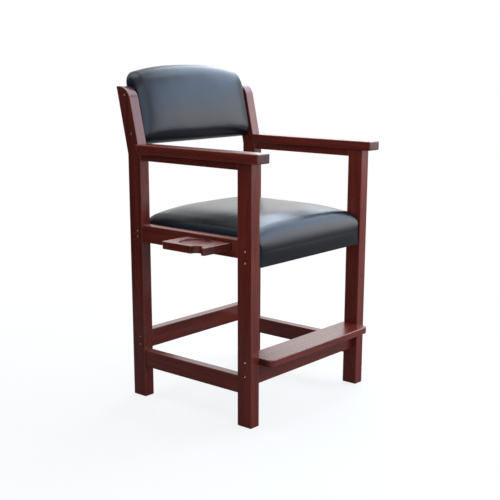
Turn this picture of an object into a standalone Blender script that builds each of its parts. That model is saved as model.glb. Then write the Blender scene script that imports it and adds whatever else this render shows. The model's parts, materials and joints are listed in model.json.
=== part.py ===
"""Billiard spectator chair: a tall armchair of dark stained wood with a padded seat and back, a footrest
between the front legs, and a pull-out tray at the sitter's right with a drink recess and a cue notch.

X runs across the chair, the sitter's right towards -X. The sitter faces -Y. The floor is Z = 0.
Each piece is placed in the chair's own frame, where X = 0 is the middle plane and Y = 0 is the front face
of the front legs. One empty carries them all, so that the origin lies under the middle of the outline.
"""

import math

import bmesh
import bpy
from mathutils import Matrix, Vector

# Frame as a whole
FRAME_WIDTH = 0.645  # over the outer faces of the legs
FRAME_DEPTH = 0.552  # front of the front legs to back of the rear legs
JOINT_GAP = 0.0003  # between two pieces that touch
EDGE_ROUND = 0.0022  # eased edges of the sawn rails

# Legs, and the leaning posts that the rear legs run up into
LEG_THICK = 0.041
LEG_DEPTH = 0.0587
BEND_HEIGHT = 0.852
POST_LEAN = math.radians(12.5)
POST_DEPTH = 0.0555
POST_TOP = 1.087
POST_ROUND = 0.055

# Arm boards, and the rails under them
ARM_TOP = 0.897
ARM_THICK = 0.0315
ARM_WIDTH = 0.0585
ARM_OVERHANG = 0.013
ARM_NOSE = 0.035
ARM_EDGE_ROUND = 0.0035
ARM_RAIL_DROP = 0.0235
ARM_RAIL_THICK = 0.038

# Seat frame
APRON_TOP = 0.624
APRON_HEIGHT = 0.061
SIDE_APRON_THICK = 0.0395
CROSS_APRON_THICK = 0.030
FRONT_APRON_SETBACK = 0.015
FRONT_APRON_HEIGHT = 0.077
REAR_APRON_SETBACK = 0.0097
SEAT_BOARD_THICK = 0.012
SEAT_SIDE_CLEARANCE = 0.003
CUSHION_WRAP = 0.006  # of the cushion over the board's side and back edges
SEAT_BOARD_CORNER = 0.040
CLEAT_SIZE = 0.024

# Stretchers near the floor, and the footrest
SIDE_STRETCHER_INSET = 0.0035
STRETCHER_THICK = 0.033
SIDE_STRETCHER_TOP = 0.172
SIDE_STRETCHER_HEIGHT = 0.060
REAR_STRETCHER_TOP = 0.2386
REAR_STRETCHER_HEIGHT = 0.065
FRONT_STRETCHER_HEIGHT = 0.0705
FRONT_STRETCHER_SETBACK = 0.020
FOOTREST_TOP = 0.2327
FOOTREST_THICK = 0.024
FOOTREST_NOSE = 0.050
FOOTREST_TAIL = 0.0025  # past the back of the front legs
FOOTREST_CORNER = 0.022

# Pull-out tray and what it slides in
TRAY_FRONT = 0.083
TRAY_WIDTH = 0.185
TRAY_THICK = 0.0245
TRAY_REACH = 0.128  # past the apron's outer face, pulled out
TRAY_TAIL = 0.070  # past the apron's inner face, pulled out
TRAY_CORNER = 0.007
TRAY_CLEARANCE = 0.0005
TRAY_TOP_BELOW_APRON = 0.0133
CUP_RADIUS = 0.0535
CUP_DEPTH = 0.005
CUP_FROM_OUTER_EDGE = 0.0685
CUP_FROM_FRONT_EDGE = 0.100
NOTCH_RADIUS = 0.022
NOTCH_FROM_FRONT_EDGE = 0.036
RUNNER_WEB = 0.012
RUNNER_LIP = 0.012
RUNNER_LIP_THICK = 0.009
STOP_CLEARANCE = 0.0008
STOP_THICK = 0.016
STOP_DROP = 0.011
STOP_SIDE_CLEARANCE = 0.003

# Seat cushion
CUSHION_SEAT_EDGE = 0.021  # its side edge above the seat board
CUSHION_SEAT_CROWN = 0.036
CUSHION_SIDE_ROUND = 0.040
CUSHION_CORNER_ROUND = 0.008  # what the side's round shrinks to at the front corners
CUSHION_CORNER_REACH = 0.040
CUSHION_NOSE_REACH = 0.060
CUSHION_NOSE_FALL = 0.031
CUSHION_TAIL_ROUND = 0.043
CUSHION_TAIL = 0.012  # short of the back of the rear legs
CUSHION_LEAST_SIDE = 0.003  # height of its edge above the board's underside
CUSHION_SKIRT_BELOW_APRON = 0.0025
SEAT_CROWN_POWERS = (4.1, 6.0)

# Back rest, measured up the posts from the arm boards and back from the posts' front faces
BACK_BOTTOM = 0.006
BACK_TOP = 0.268
BACK_ARCH = 0.028
BACK_ARCH_POWER = 2.5
BACK_CORNER = 0.022
BACK_DEPTH = 0.050
BACK_PROUD = 0.0015
BACK_CROWN = 0.012
BACK_SIDE_ROUND = 0.016
BACK_TOP_ROUND = 0.049
BACK_BOTTOM_ROUND = 0.034
BACK_CROWN_POWERS = (4.6, 2.0)
BACK_BOARD_THICK = 0.024
BACK_BOARD_SETBACK = 0.016
BACK_BOARD_MARGIN = 0.015
BACK_BOARD_CORNER = 0.040

# Bolts that pass through the legs into the cross pieces
BOLT_HEAD_RADIUS = 0.0047
BOLT_HEAD_HEIGHT = 0.0042
BOLT_HEAD_RECESS = 0.0012
BOLT_DOME = 0.0010
BOLT_SHANK_RADIUS = 0.0030
BOLT_LENGTH = 0.070
BOLT_SOCKET_RADIUS = 0.0023
BOLT_SOCKET_DEPTH = 0.0022
BOLT_HOLE_CLEARANCE = 0.0004
FRONT_BOLT_LINE = 0.0285  # behind the front face of the front leg
REAR_BOLT_LINE = 0.0245  # behind the front face of the rear leg
POST_BOLT_LINE = 0.0257  # behind the front face of the post
FRONT_SEAT_BOLT_SPACING = 0.037
FRONT_SEAT_BOLT_DROP = 0.0045  # of the pair below the apron's middle
REAR_SEAT_BOLT_SPACING = 0.020
REAR_SEAT_BOLT_RISE = 0.003
REAR_LOW_BOLT_SPACING = 0.0285
BACK_BOLT_HEIGHTS = (0.0395, 0.1715)  # up the post from the arm's top

CUT_OVERRUN = 0.010

# Places worked out from the sizes above
HALF = FRAME_WIDTH / 2
INNER = HALF - LEG_THICK
REAR_FRONT = FRAME_DEPTH - LEG_DEPTH
ARM_UNDERSIDE = ARM_TOP - ARM_THICK
APRON_UNDERSIDE = APRON_TOP - APRON_HEIGHT
SEAT_BOARD_TOP = APRON_TOP - JOINT_GAP
SEAT_BOARD_UNDERSIDE = SEAT_BOARD_TOP - SEAT_BOARD_THICK
CROSS_APRON_TOP = SEAT_BOARD_UNDERSIDE - JOINT_GAP
FRONT_APRON_UNDERSIDE = CROSS_APRON_TOP - FRONT_APRON_HEIGHT
REAR_APRON_FRONT = REAR_FRONT + REAR_APRON_SETBACK
FOOTREST_UNDERSIDE = FOOTREST_TOP - FOOTREST_THICK
FRONT_STRETCHER_TOP = FOOTREST_UNDERSIDE - JOINT_GAP
TRAY_TOP = APRON_TOP - TRAY_TOP_BELOW_APRON
TRAY_UNDERSIDE = TRAY_TOP - TRAY_THICK
TRAY_BACK = TRAY_FRONT + TRAY_WIDTH
TRAY_OUTER = -HALF - TRAY_REACH
TRAY_INNER = -HALF + SIDE_APRON_THICK + TRAY_TAIL
APRON_INNER = -HALF + SIDE_APRON_THICK
CUSHION_HALF = INNER - SEAT_SIDE_CLEARANCE
CUSHION_BACK = FRAME_DEPTH - CUSHION_TAIL
SEAT_BOARD_HALF = CUSHION_HALF - CUSHION_WRAP
SEAT_BOARD_BACK = CUSHION_BACK - CUSHION_WRAP
LEAN_UP = Vector((0.0, math.sin(POST_LEAN), math.cos(POST_LEAN)))
LEAN_FORWARD = Vector((0.0, -math.cos(POST_LEAN), math.sin(POST_LEAN)))
BACK_ORIGIN = Vector((0.0, REAR_FRONT + (ARM_TOP - BEND_HEIGHT) * math.tan(POST_LEAN), ARM_TOP))

SMOOTH_ANGLE = math.radians(35)
BEVEL_ANGLE = math.radians(40)
ARC_STEPS = 8
BORE_SIDES = 8
HEAD_SIDES = 12
CUP_SIDES = 48


def linear(hex_colour):
    """A sRGB hex colour as linear RGBA."""
    parts = [int(hex_colour[i : i + 2], 16) / 255 for i in (1, 3, 5)]
    return [c / 12.92 if c <= 0.04045 else ((c + 0.055) / 1.055) ** 2.4 for c in parts] + [1.0]


def material(name, colour, roughness, metallic=0.0):
    made = bpy.data.materials.new(name)
    made.use_nodes = True
    made.diffuse_color = linear(colour)
    shader = made.node_tree.nodes["Principled BSDF"]
    shader.inputs["Base Color"].default_value = linear(colour)
    shader.inputs["Roughness"].default_value = roughness
    shader.inputs["Metallic"].default_value = metallic
    return made


def clear_scene():
    for old in list(bpy.data.objects):
        bpy.data.objects.remove(old, do_unlink=True)


def collection(name, hidden=False):
    made = bpy.data.collections.new(name)
    made.hide_render = hidden
    bpy.context.scene.collection.children.link(made)
    return made


def link(obj, finish=None):
    """Puts an object in the chair's collection, under the empty that carries the chair."""
    CHAIR.objects.link(obj)
    obj.parent = CARRIER
    if finish is not None:
        obj.data.materials.clear()
        obj.data.materials.append(finish)
    return obj


def ease(obj, width, segments=2):
    """Rounds the sharp edges of a mesh object."""
    bevel = obj.modifiers.new("eased_edges", "BEVEL")
    bevel.width = width
    bevel.segments = segments
    bevel.limit_method = "ANGLE"
    bevel.angle_limit = BEVEL_ANGLE
    return obj


def box(name, low, high):
    """A box between two corners, with its origin at its middle."""
    mesh = bpy.data.meshes.new(name)
    work = bmesh.new()
    size = Vector(high) - Vector(low)
    bmesh.ops.create_cube(work, size=1.0, matrix=Matrix.Diagonal(size.to_4d()))
    work.to_mesh(mesh)
    work.free()
    made = bpy.data.objects.new(name, mesh)
    made.location = (Vector(low) + Vector(high)) / 2
    return made


def rail(name, low, high, finish, round_by=EDGE_ROUND):
    """A straight length of wood with eased edges."""
    return ease(link(box(name, low, high), finish), round_by)


def link_cutter(obj):
    """Puts an object among the cutters, under the empty that carries the chair."""
    CUTTERS.objects.link(obj)
    obj.parent = CARRIER
    return obj


def outline_solid(name, points, low, thickness, turn, finish=None):
    """A flat closed outline given in the turned frame's X and Y, made a solid from low upwards along its Z."""
    curve = bpy.data.curves.new(name, "CURVE")
    curve.dimensions = "2D"
    curve.fill_mode = "BOTH"
    curve.extrude = thickness / 2
    spline = curve.splines.new("POLY")
    spline.points.add(len(points) - 1)
    for point, (a, b) in zip(spline.points, points):
        point.co = (a, b, 0.0, 1.0)
    spline.use_cyclic_u = True
    drawn = bpy.data.objects.new(name + "_outline", curve)
    bpy.context.scene.collection.objects.link(drawn)
    drawn.matrix_world = turn @ Matrix.Translation((0.0, 0.0, low + thickness / 2))
    bpy.context.view_layer.update()
    mesh = bpy.data.meshes.new_from_object(drawn.evaluated_get(bpy.context.evaluated_depsgraph_get()))
    place = drawn.matrix_world.copy()
    bpy.data.objects.remove(drawn)
    bpy.data.curves.remove(curve)
    work = bmesh.new()
    work.from_mesh(mesh)
    bmesh.ops.remove_doubles(work, verts=work.verts, dist=JOINT_GAP / 10)
    bmesh.ops.dissolve_limit(
        work, angle_limit=math.radians(1), verts=work.verts, edges=work.edges, delimit={"NORMAL"}
    )
    bmesh.ops.recalc_face_normals(work, faces=work.faces)
    work.to_mesh(mesh)
    work.free()
    mesh.name = name
    solid = bpy.data.objects.new(name, mesh)
    if finish is None:
        link_cutter(solid)
    else:
        link(solid, finish)
    solid.matrix_local = place
    return solid


# Frames for outlines: drawn in Y and Z and given a thickness along X, or drawn in X and Y and thick along Z
ALONG_X = Matrix(((0, 0, 1, 0), (1, 0, 0, 0), (0, 1, 0, 0), (0, 0, 0, 1)))
ALONG_Z = Matrix.Identity(4)
ALONG_BACK = Matrix.Translation(BACK_ORIGIN) @ Matrix(
    (
        (1, 0, 0, 0),
        (0, LEAN_UP.y, LEAN_FORWARD.y, 0),
        (0, LEAN_UP.z, LEAN_FORWARD.z, 0),
        (0, 0, 0, 1),
    )
)


def arc(centre, radius, start, end, steps=ARC_STEPS):
    """Points along a circle from one angle to another, both ends included."""
    angles = [start + (end - start) * i / steps for i in range(steps + 1)]
    return [(centre[0] + radius * math.cos(a), centre[1] + radius * math.sin(a)) for a in angles]


def hide_cutter(obj):
    obj.hide_render = True
    obj.display_type = "WIRE"
    return obj


def cut(obj, cutter, name):
    cutting = obj.modifiers.new(name, "BOOLEAN")
    cutting.operation = "DIFFERENCE"
    cutting.solver = "EXACT"
    cutting.object = hide_cutter(cutter)


def cylinders_along_x(name, places, radius, start, end, sides):
    """One cutter holding a separate cylinder, from start to end in X, at each (y, z) place."""
    mesh = bpy.data.meshes.new(name)
    work = bmesh.new()
    for y, z in places:
        centre = Matrix.Translation(((start + end) / 2, y, z))
        bmesh.ops.create_cone(
            work,
            cap_ends=True,
            segments=sides,
            radius1=radius,
            radius2=radius,
            depth=abs(end - start),
            matrix=centre @ Matrix.Rotation(math.pi / 2, 4, "Y"),
        )
    work.to_mesh(mesh)
    work.free()
    return link_cutter(bpy.data.objects.new(name, mesh))


def post_front(height):
    """Y of the post's front face at a height above the bend."""
    return REAR_FRONT + (height - BEND_HEIGHT) * math.tan(POST_LEAN)


def front_bolt_places():
    """Y and Z of the bolts in a front leg: front apron, footrest board and front stretcher."""
    apron_middle = CROSS_APRON_TOP - FRONT_APRON_HEIGHT / 2 - FRONT_SEAT_BOLT_DROP
    half = FRONT_SEAT_BOLT_SPACING / 2
    board_middle = FOOTREST_TOP - FOOTREST_THICK / 2
    stretcher_middle = FRONT_STRETCHER_TOP - FRONT_STRETCHER_HEIGHT / 2
    heights = (apron_middle + half, apron_middle - half, board_middle, stretcher_middle)
    return [(FRONT_BOLT_LINE, z) for z in heights]


def rear_bolt_places():
    """Y and Z of the bolts in a rear leg: back board, rear apron and rear stretcher."""
    places = []
    for height in BACK_BOLT_HEIGHTS:
        point = BACK_ORIGIN + LEAN_UP * height - LEAN_FORWARD * POST_BOLT_LINE
        places.append((point.y, point.z))
    apron_middle = (CROSS_APRON_TOP + APRON_UNDERSIDE) / 2 + REAR_SEAT_BOLT_RISE
    stretcher_middle = REAR_STRETCHER_TOP - REAR_STRETCHER_HEIGHT / 2
    for middle, spacing in (
        (apron_middle, REAR_SEAT_BOLT_SPACING),
        (stretcher_middle, REAR_LOW_BOLT_SPACING),
    ):
        for step in (spacing / 2, -spacing / 2):
            places.append((REAR_FRONT + REAR_BOLT_LINE, middle + step))
    return places


def drill_leg(leg, side, name, places):
    """Bolt holes right through a leg, each with a wider recess for the head in the outer face."""
    outer = side * HALF
    through = cylinders_along_x(
        name + "_bolt_holes",
        places,
        BOLT_SHANK_RADIUS + BOLT_HOLE_CLEARANCE,
        side * (INNER - CUT_OVERRUN),
        side * (HALF + CUT_OVERRUN),
        BORE_SIDES,
    )
    recess_floor = BOLT_HEAD_RECESS + BOLT_HEAD_HEIGHT + JOINT_GAP
    recesses = cylinders_along_x(
        name + "_head_recesses",
        places,
        BOLT_HEAD_RADIUS + BOLT_HOLE_CLEARANCE,
        outer - side * recess_floor,
        outer + side * CUT_OVERRUN,
        HEAD_SIDES,
    )
    cut(leg, through, "bolt_holes")
    cut(leg, recesses, "head_recesses")


def drill_ends(piece, places):
    """Blind holes for the bolts in both ends of a cross piece."""
    reach = HALF - BOLT_HEAD_RECESS - BOLT_LENGTH - JOINT_GAP * 4
    for side, word in ((-1, "right"), (1, "left")):
        holes = cylinders_along_x(
            f"{piece.name}_{word}_holes",
            places,
            BOLT_SHANK_RADIUS + BOLT_HOLE_CLEARANCE,
            side * reach,
            side * (INNER + CUT_OVERRUN),
            BORE_SIDES,
        )
        cut(piece, holes, word + "_holes")


def front_legs():
    for side, word in ((-1, "right"), (1, "left")):
        low = (min(side * INNER, side * HALF), 0.0, 0.0)
        high = (max(side * INNER, side * HALF), LEG_DEPTH, ARM_UNDERSIDE - JOINT_GAP)
        leg = rail("front_leg_" + word, low, high, WOOD)
        drill_leg(leg, side, leg.name, front_bolt_places())


def rear_leg_outline():
    """Upright below the bend, leaning above it, with the top front corner rounded."""
    sine, cosine = math.sin(POST_LEAN), math.cos(POST_LEAN)
    back_rise = (LEG_DEPTH - POST_DEPTH * cosine) / sine
    back_bend = BEND_HEIGHT - POST_DEPTH * sine + back_rise * cosine
    top_back = REAR_FRONT + POST_DEPTH * cosine + (POST_TOP - BEND_HEIGHT + POST_DEPTH * sine) * sine / cosine
    corner_y = post_front(POST_TOP)
    tangent = POST_ROUND * math.tan((math.pi / 2 - POST_LEAN) / 2)
    centre = (corner_y + tangent, POST_TOP - POST_ROUND)
    rounded = arc(centre, POST_ROUND, math.pi / 2, math.pi - POST_LEAN)
    return (
        [(REAR_FRONT, 0.0), (FRAME_DEPTH, 0.0), (FRAME_DEPTH, back_bend), (top_back, POST_TOP)]
        + rounded
        + [(REAR_FRONT, BEND_HEIGHT)]
    )


def rear_legs():
    for side, word in ((-1, "right"), (1, "left")):
        low = min(side * INNER, side * HALF)
        leg = outline_solid("rear_leg_" + word, rear_leg_outline(), low, LEG_THICK, ALONG_X, WOOD)
        ease(leg, EDGE_ROUND)
        drill_leg(leg, side, leg.name, rear_bolt_places())


def arms():
    """Arm boards on the front legs, cut to the posts' lean, and the narrower rails under them."""
    board = [
        (-ARM_NOSE, ARM_UNDERSIDE),
        (post_front(ARM_UNDERSIDE) - JOINT_GAP, ARM_UNDERSIDE),
        (post_front(ARM_TOP) - JOINT_GAP, ARM_TOP),
        (-ARM_NOSE, ARM_TOP),
    ]
    rail_top = ARM_UNDERSIDE - JOINT_GAP
    rail_underside = ARM_UNDERSIDE - ARM_RAIL_DROP
    under = [
        (LEG_DEPTH + JOINT_GAP, rail_underside),
        (REAR_FRONT - JOINT_GAP, rail_underside),
        (REAR_FRONT - JOINT_GAP, BEND_HEIGHT),
        (post_front(rail_top) - JOINT_GAP, rail_top),
        (LEG_DEPTH + JOINT_GAP, rail_top),
    ]
    middle = HALF - LEG_THICK / 2
    for side, word in ((-1, "right"), (1, "left")):
        outer = HALF + ARM_OVERHANG
        low = min(side * outer, side * (outer - ARM_WIDTH))
        arm = outline_solid("arm_board_" + word, board, low, ARM_WIDTH, ALONG_X, WOOD)
        ease(arm, ARM_EDGE_ROUND)
        low = side * middle - ARM_RAIL_THICK / 2
        ease(outline_solid("arm_rail_" + word, under, low, ARM_RAIL_THICK, ALONG_X, WOOD), EDGE_ROUND)


def seat_board_outline(margin):
    """The seat board from above, its front and back corners rounded, grown by a margin."""
    radius = SEAT_BOARD_CORNER + margin
    side = SEAT_BOARD_HALF - SEAT_BOARD_CORNER
    front = FRONT_APRON_SETBACK + SEAT_BOARD_CORNER
    back = SEAT_BOARD_BACK - SEAT_BOARD_CORNER
    corners = ((side, back), (-side, back), (-side, front), (side, front))
    points = []
    for quarter, corner in enumerate(corners):
        turn = quarter * math.pi / 2
        points += arc(corner, radius, turn, turn + math.pi / 2, ARC_STEPS // 2)
    return points


def seat_frame():
    """Side aprons flush with the legs, cross aprons between them, and the board that they carry."""
    front, back = LEG_DEPTH + JOINT_GAP, REAR_FRONT - JOINT_GAP
    for side, word in ((-1, "right"), (1, "left")):
        xs = sorted((side * HALF, side * (HALF - SIDE_APRON_THICK)))
        apron = rail("side_apron_" + word, (xs[0], front, APRON_UNDERSIDE), (xs[1], back, APRON_TOP), WOOD)
        if side < 0:
            low = (xs[0] - CUT_OVERRUN, TRAY_FRONT - TRAY_CLEARANCE, TRAY_UNDERSIDE - TRAY_CLEARANCE)
            high = (xs[1] + CUT_OVERRUN, TRAY_BACK + TRAY_CLEARANCE, TRAY_TOP + TRAY_CLEARANCE)
            cut(apron, link_cutter(box("tray_slot", low, high)), "tray_slot")
    reach = INNER - JOINT_GAP
    front_face = FRONT_APRON_SETBACK
    low = (-reach, front_face, FRONT_APRON_UNDERSIDE)
    high = (reach, front_face + CROSS_APRON_THICK, CROSS_APRON_TOP)
    drill_ends(rail("front_apron", low, high, WOOD), front_bolt_places()[:2])
    low = (-reach, REAR_APRON_FRONT, APRON_UNDERSIDE)
    high = (reach, REAR_APRON_FRONT + CROSS_APRON_THICK, CROSS_APRON_TOP)
    drill_ends(rail("rear_apron", low, high, WOOD), rear_bolt_places()[2:4])
    points = seat_board_outline(0.0)
    outline_solid("seat_board", points, SEAT_BOARD_UNDERSIDE, SEAT_BOARD_THICK, ALONG_Z, PLYWOOD)
    cleat_top = CROSS_APRON_TOP
    cleat_starts = {"right": TRAY_BACK + TRAY_CLEARANCE + RUNNER_WEB + JOINT_GAP, "left": front}
    for side, word in ((-1, "right"), (1, "left")):
        outer = HALF - SIDE_APRON_THICK - JOINT_GAP
        xs = sorted((side * outer, side * (outer - CLEAT_SIZE)))
        low = (xs[0], cleat_starts[word], cleat_top - CLEAT_SIZE)
        rail("seat_cleat_" + word, low, (xs[1], back, cleat_top), WOOD)


def stretchers():
    """Rails near the floor."""
    front, back = LEG_DEPTH + JOINT_GAP, REAR_FRONT - JOINT_GAP
    for side, word in ((-1, "right"), (1, "left")):
        outer = HALF - SIDE_STRETCHER_INSET
        xs = sorted((side * outer, side * (outer - STRETCHER_THICK)))
        low = (xs[0], front, SIDE_STRETCHER_TOP - SIDE_STRETCHER_HEIGHT)
        rail("side_stretcher_" + word, low, (xs[1], back, SIDE_STRETCHER_TOP), WOOD)
    reach = INNER - JOINT_GAP
    rear_face = FRAME_DEPTH - (LEG_DEPTH - STRETCHER_THICK) / 2
    low = (-reach, rear_face - STRETCHER_THICK, REAR_STRETCHER_TOP - REAR_STRETCHER_HEIGHT)
    high = (reach, rear_face, REAR_STRETCHER_TOP)
    drill_ends(rail("rear_stretcher", low, high, WOOD), rear_bolt_places()[4:])
    low = (-reach, FRONT_STRETCHER_SETBACK, FRONT_STRETCHER_TOP - FRONT_STRETCHER_HEIGHT)
    high = (reach, FRONT_STRETCHER_SETBACK + STRETCHER_THICK, FRONT_STRETCHER_TOP)
    drill_ends(rail("front_stretcher", low, high, WOOD), front_bolt_places()[3:])


def footrest():
    """The board between the front legs, with its nose in front of them and its front corners rounded."""
    reach = INNER - JOINT_GAP
    middle = reach - FOOTREST_CORNER
    nose = -FOOTREST_NOSE + FOOTREST_CORNER
    tail = LEG_DEPTH + FOOTREST_TAIL
    points = [(reach, tail), (-reach, tail)]
    points += arc((-middle, nose), FOOTREST_CORNER, math.pi, 1.5 * math.pi)
    points += arc((middle, nose), FOOTREST_CORNER, 1.5 * math.pi, 2 * math.pi)
    board = outline_solid("footrest_board", points, FOOTREST_UNDERSIDE, FOOTREST_THICK, ALONG_Z, WOOD)
    ease(board, ARM_EDGE_ROUND)
    drill_ends(board, front_bolt_places()[2:3])


def bolt_mesh():
    """A bolt along +X from its head's face at X = 0: a domed head with a six-sided socket, and a shank."""
    profile = [
        (0.0, 0.0),
        (BOLT_HEAD_RADIUS * 0.6, BOLT_DOME * 0.25),
        (BOLT_HEAD_RADIUS, BOLT_DOME),
        (BOLT_HEAD_RADIUS, BOLT_HEAD_HEIGHT),
        (BOLT_SHANK_RADIUS, BOLT_HEAD_HEIGHT),
        (BOLT_SHANK_RADIUS, BOLT_LENGTH),
        (0.0, BOLT_LENGTH),
    ]
    mesh = bpy.data.meshes.new("bolt_profile")
    work = bmesh.new()
    points = [work.verts.new((along, 0.0, radius)) for radius, along in profile]
    for start, end in zip(points, points[1:]):
        work.edges.new((start, end))
    bmesh.ops.spin(
        work,
        geom=work.verts[:] + work.edges[:],
        axis=(1, 0, 0),
        cent=(0, 0, 0),
        angle=2 * math.pi,
        steps=HEAD_SIDES,
        use_merge=True,
    )
    bmesh.ops.remove_doubles(work, verts=work.verts, dist=JOINT_GAP / 10)
    bmesh.ops.recalc_face_normals(work, faces=work.faces)
    work.to_mesh(mesh)
    work.free()
    blank = bpy.data.objects.new("bolt_blank", mesh)
    bpy.context.scene.collection.objects.link(blank)
    socket = cylinders_along_x(
        "bolt_socket", [(0.0, 0.0)], BOLT_SOCKET_RADIUS, -CUT_OVERRUN, BOLT_SOCKET_DEPTH, 6
    )
    socket.parent = None
    cut(blank, socket, "socket")
    bpy.context.view_layer.update()
    made = bpy.data.meshes.new_from_object(blank.evaluated_get(bpy.context.evaluated_depsgraph_get()))
    bpy.data.objects.remove(blank)
    bpy.data.objects.remove(socket)
    made.name = "bolt"
    made.materials.clear()
    made.materials.append(BOLT_METAL)
    return made


def bolts():
    """Every bolt in both sides, its head a little below the leg's outer face."""
    mesh = bolt_mesh()
    names = {
        "front": ["seat_upper", "seat_lower", "footrest", "stretcher"],
        "rear": ["back_lower", "back_upper", "seat_upper", "seat_lower", "stretcher_upper", "stretcher_lower"],
    }
    for row, places in (("front", front_bolt_places()), ("rear", rear_bolt_places())):
        for spot, (y, z) in zip(names[row], places):
            for side, word in ((-1, "right"), (1, "left")):
                bolt = link(bpy.data.objects.new(f"bolt_{row}_{spot}_{word}", mesh))
                bolt.location = (side * (HALF - BOLT_HEAD_RECESS), y, z)
                bolt.rotation_euler = (0.0, 0.0, math.pi if side > 0 else 0.0)


def tray_outline():
    """The tray from above: rounded outer corners and a half-round notch in its outer edge for a cue."""
    notch_middle = TRAY_FRONT + NOTCH_FROM_FRONT_EDGE
    outer, inner = TRAY_OUTER, TRAY_INNER
    corner = outer + TRAY_CORNER
    points = [(inner, TRAY_FRONT), (inner, TRAY_BACK)]
    points += arc((corner, TRAY_BACK - TRAY_CORNER), TRAY_CORNER, math.pi / 2, math.pi, 4)
    points += arc((outer, notch_middle), NOTCH_RADIUS, math.pi / 2, -math.pi / 2, 2 * ARC_STEPS)
    points += arc((corner, TRAY_FRONT + TRAY_CORNER), TRAY_CORNER, math.pi, 1.5 * math.pi, 4)
    return points


def tray():
    """The sliding tray, with the cleat under it that stops it at the apron when it is pulled out."""
    slide = bpy.data.objects.new("tray_slide_axis", None)
    CHAIR.objects.link(slide)
    slide.parent = CARRIER
    slide.location = (-HALF, TRAY_FRONT + TRAY_WIDTH / 2, TRAY_TOP - TRAY_THICK / 2)
    board = outline_solid("drink_tray", tray_outline(), TRAY_UNDERSIDE, TRAY_THICK, ALONG_Z, WOOD)
    ease(board, EDGE_ROUND)
    cup = bpy.data.meshes.new("cup_recess")
    work = bmesh.new()
    floor = TRAY_TOP - CUP_DEPTH
    height = CUP_DEPTH + CUT_OVERRUN
    centre = (TRAY_OUTER + CUP_FROM_OUTER_EDGE, TRAY_FRONT + CUP_FROM_FRONT_EDGE, floor + height / 2)
    bmesh.ops.create_cone(
        work,
        cap_ends=True,
        segments=CUP_SIDES,
        radius1=CUP_RADIUS,
        radius2=CUP_RADIUS,
        depth=height,
        matrix=Matrix.Translation(centre),
    )
    work.to_mesh(cup)
    work.free()
    cutter = link_cutter(bpy.data.objects.new("cup_recess", cup))
    cut(board, cutter, "cup_recess")
    low = (
        APRON_INNER + JOINT_GAP,
        TRAY_FRONT + RUNNER_LIP + STOP_SIDE_CLEARANCE,
        TRAY_UNDERSIDE - JOINT_GAP - STOP_DROP,
    )
    high = (
        APRON_INNER + JOINT_GAP + STOP_THICK,
        TRAY_BACK - RUNNER_LIP - STOP_SIDE_CLEARANCE,
        TRAY_UNDERSIDE - JOINT_GAP,
    )
    cleat = rail("tray_cleat", low, high, WOOD)
    for piece in (board, cutter, cleat):
        piece.parent = slide
        piece.matrix_parent_inverse = Matrix.Translation(-slide.location)


def runner_outline(edge, outward):
    """An angle in Y and Z: a web beside the tray, hung from the seat board, and a lip under its edge."""
    web = edge + outward * TRAY_CLEARANCE
    lip_top = TRAY_UNDERSIDE - JOINT_GAP
    top = CROSS_APRON_TOP
    underside = lip_top - RUNNER_LIP_THICK
    points = [
        (web + outward * RUNNER_WEB, underside),
        (web + outward * RUNNER_WEB, top),
        (web, top),
        (web, lip_top),
        (web - outward * RUNNER_LIP, lip_top),
        (web - outward * RUNNER_LIP, underside),
    ]
    return points if outward > 0 else points[::-1]


def runners():
    """Two wooden angles that the tray slides in, and the block that stops it when it is pushed home."""
    start = APRON_INNER + JOINT_GAP
    end = TRAY_INNER + TRAY_REACH + STOP_CLEARANCE + STOP_THICK
    for word, edge, outward in (("front", TRAY_FRONT, -1), ("rear", TRAY_BACK, 1)):
        points = runner_outline(edge, outward)
        runner = outline_solid("tray_runner_" + word, points, start, end - start, ALONG_X, WOOD)
        ease(runner, JOINT_GAP * 3, 1)
    low = (end - STOP_THICK, TRAY_FRONT + STOP_SIDE_CLEARANCE, TRAY_UNDERSIDE)
    high = (end, TRAY_BACK - STOP_SIDE_CLEARANCE, CROSS_APRON_TOP)
    rail("tray_back_stop", low, high, WOOD)


def round_over(distance, radius):
    """How much of its full height a rounded edge has at a distance in from the border, from 0 to 1."""
    inside = min(max(1 - distance / radius, 0.0), 1.0)
    return math.sqrt(1 - inside * inside)


def cushion_cage(name, cuts, place, finish):
    """A cube cut into a grid that crowds towards its edges, moved by place(u, v, w), then smoothed once."""
    mesh = bpy.data.meshes.new(name)
    work = bmesh.new()
    bmesh.ops.create_cube(work, size=2.0)
    for axis, count in enumerate(cuts):
        for i in range(1, count):
            plane = Vector((0, 0, 0))
            normal = Vector((0, 0, 0))
            plane[axis] = -1 + 2 * i / count
            normal[axis] = 1
            bmesh.ops.bisect_plane(
                work, geom=work.verts[:] + work.edges[:] + work.faces[:], plane_co=plane, plane_no=normal
            )
    for vert in work.verts:
        vert.co = place(*[math.sin(share * math.pi / 2) for share in vert.co])
    bmesh.ops.recalc_face_normals(work, faces=work.faces)
    work.to_mesh(mesh)
    work.free()
    obj = link(bpy.data.objects.new(name, mesh), finish)
    smooth = obj.modifiers.new("smooth", "SUBSURF")
    smooth.levels = smooth.render_levels = 1
    obj.data.shade_smooth()
    return obj


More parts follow.
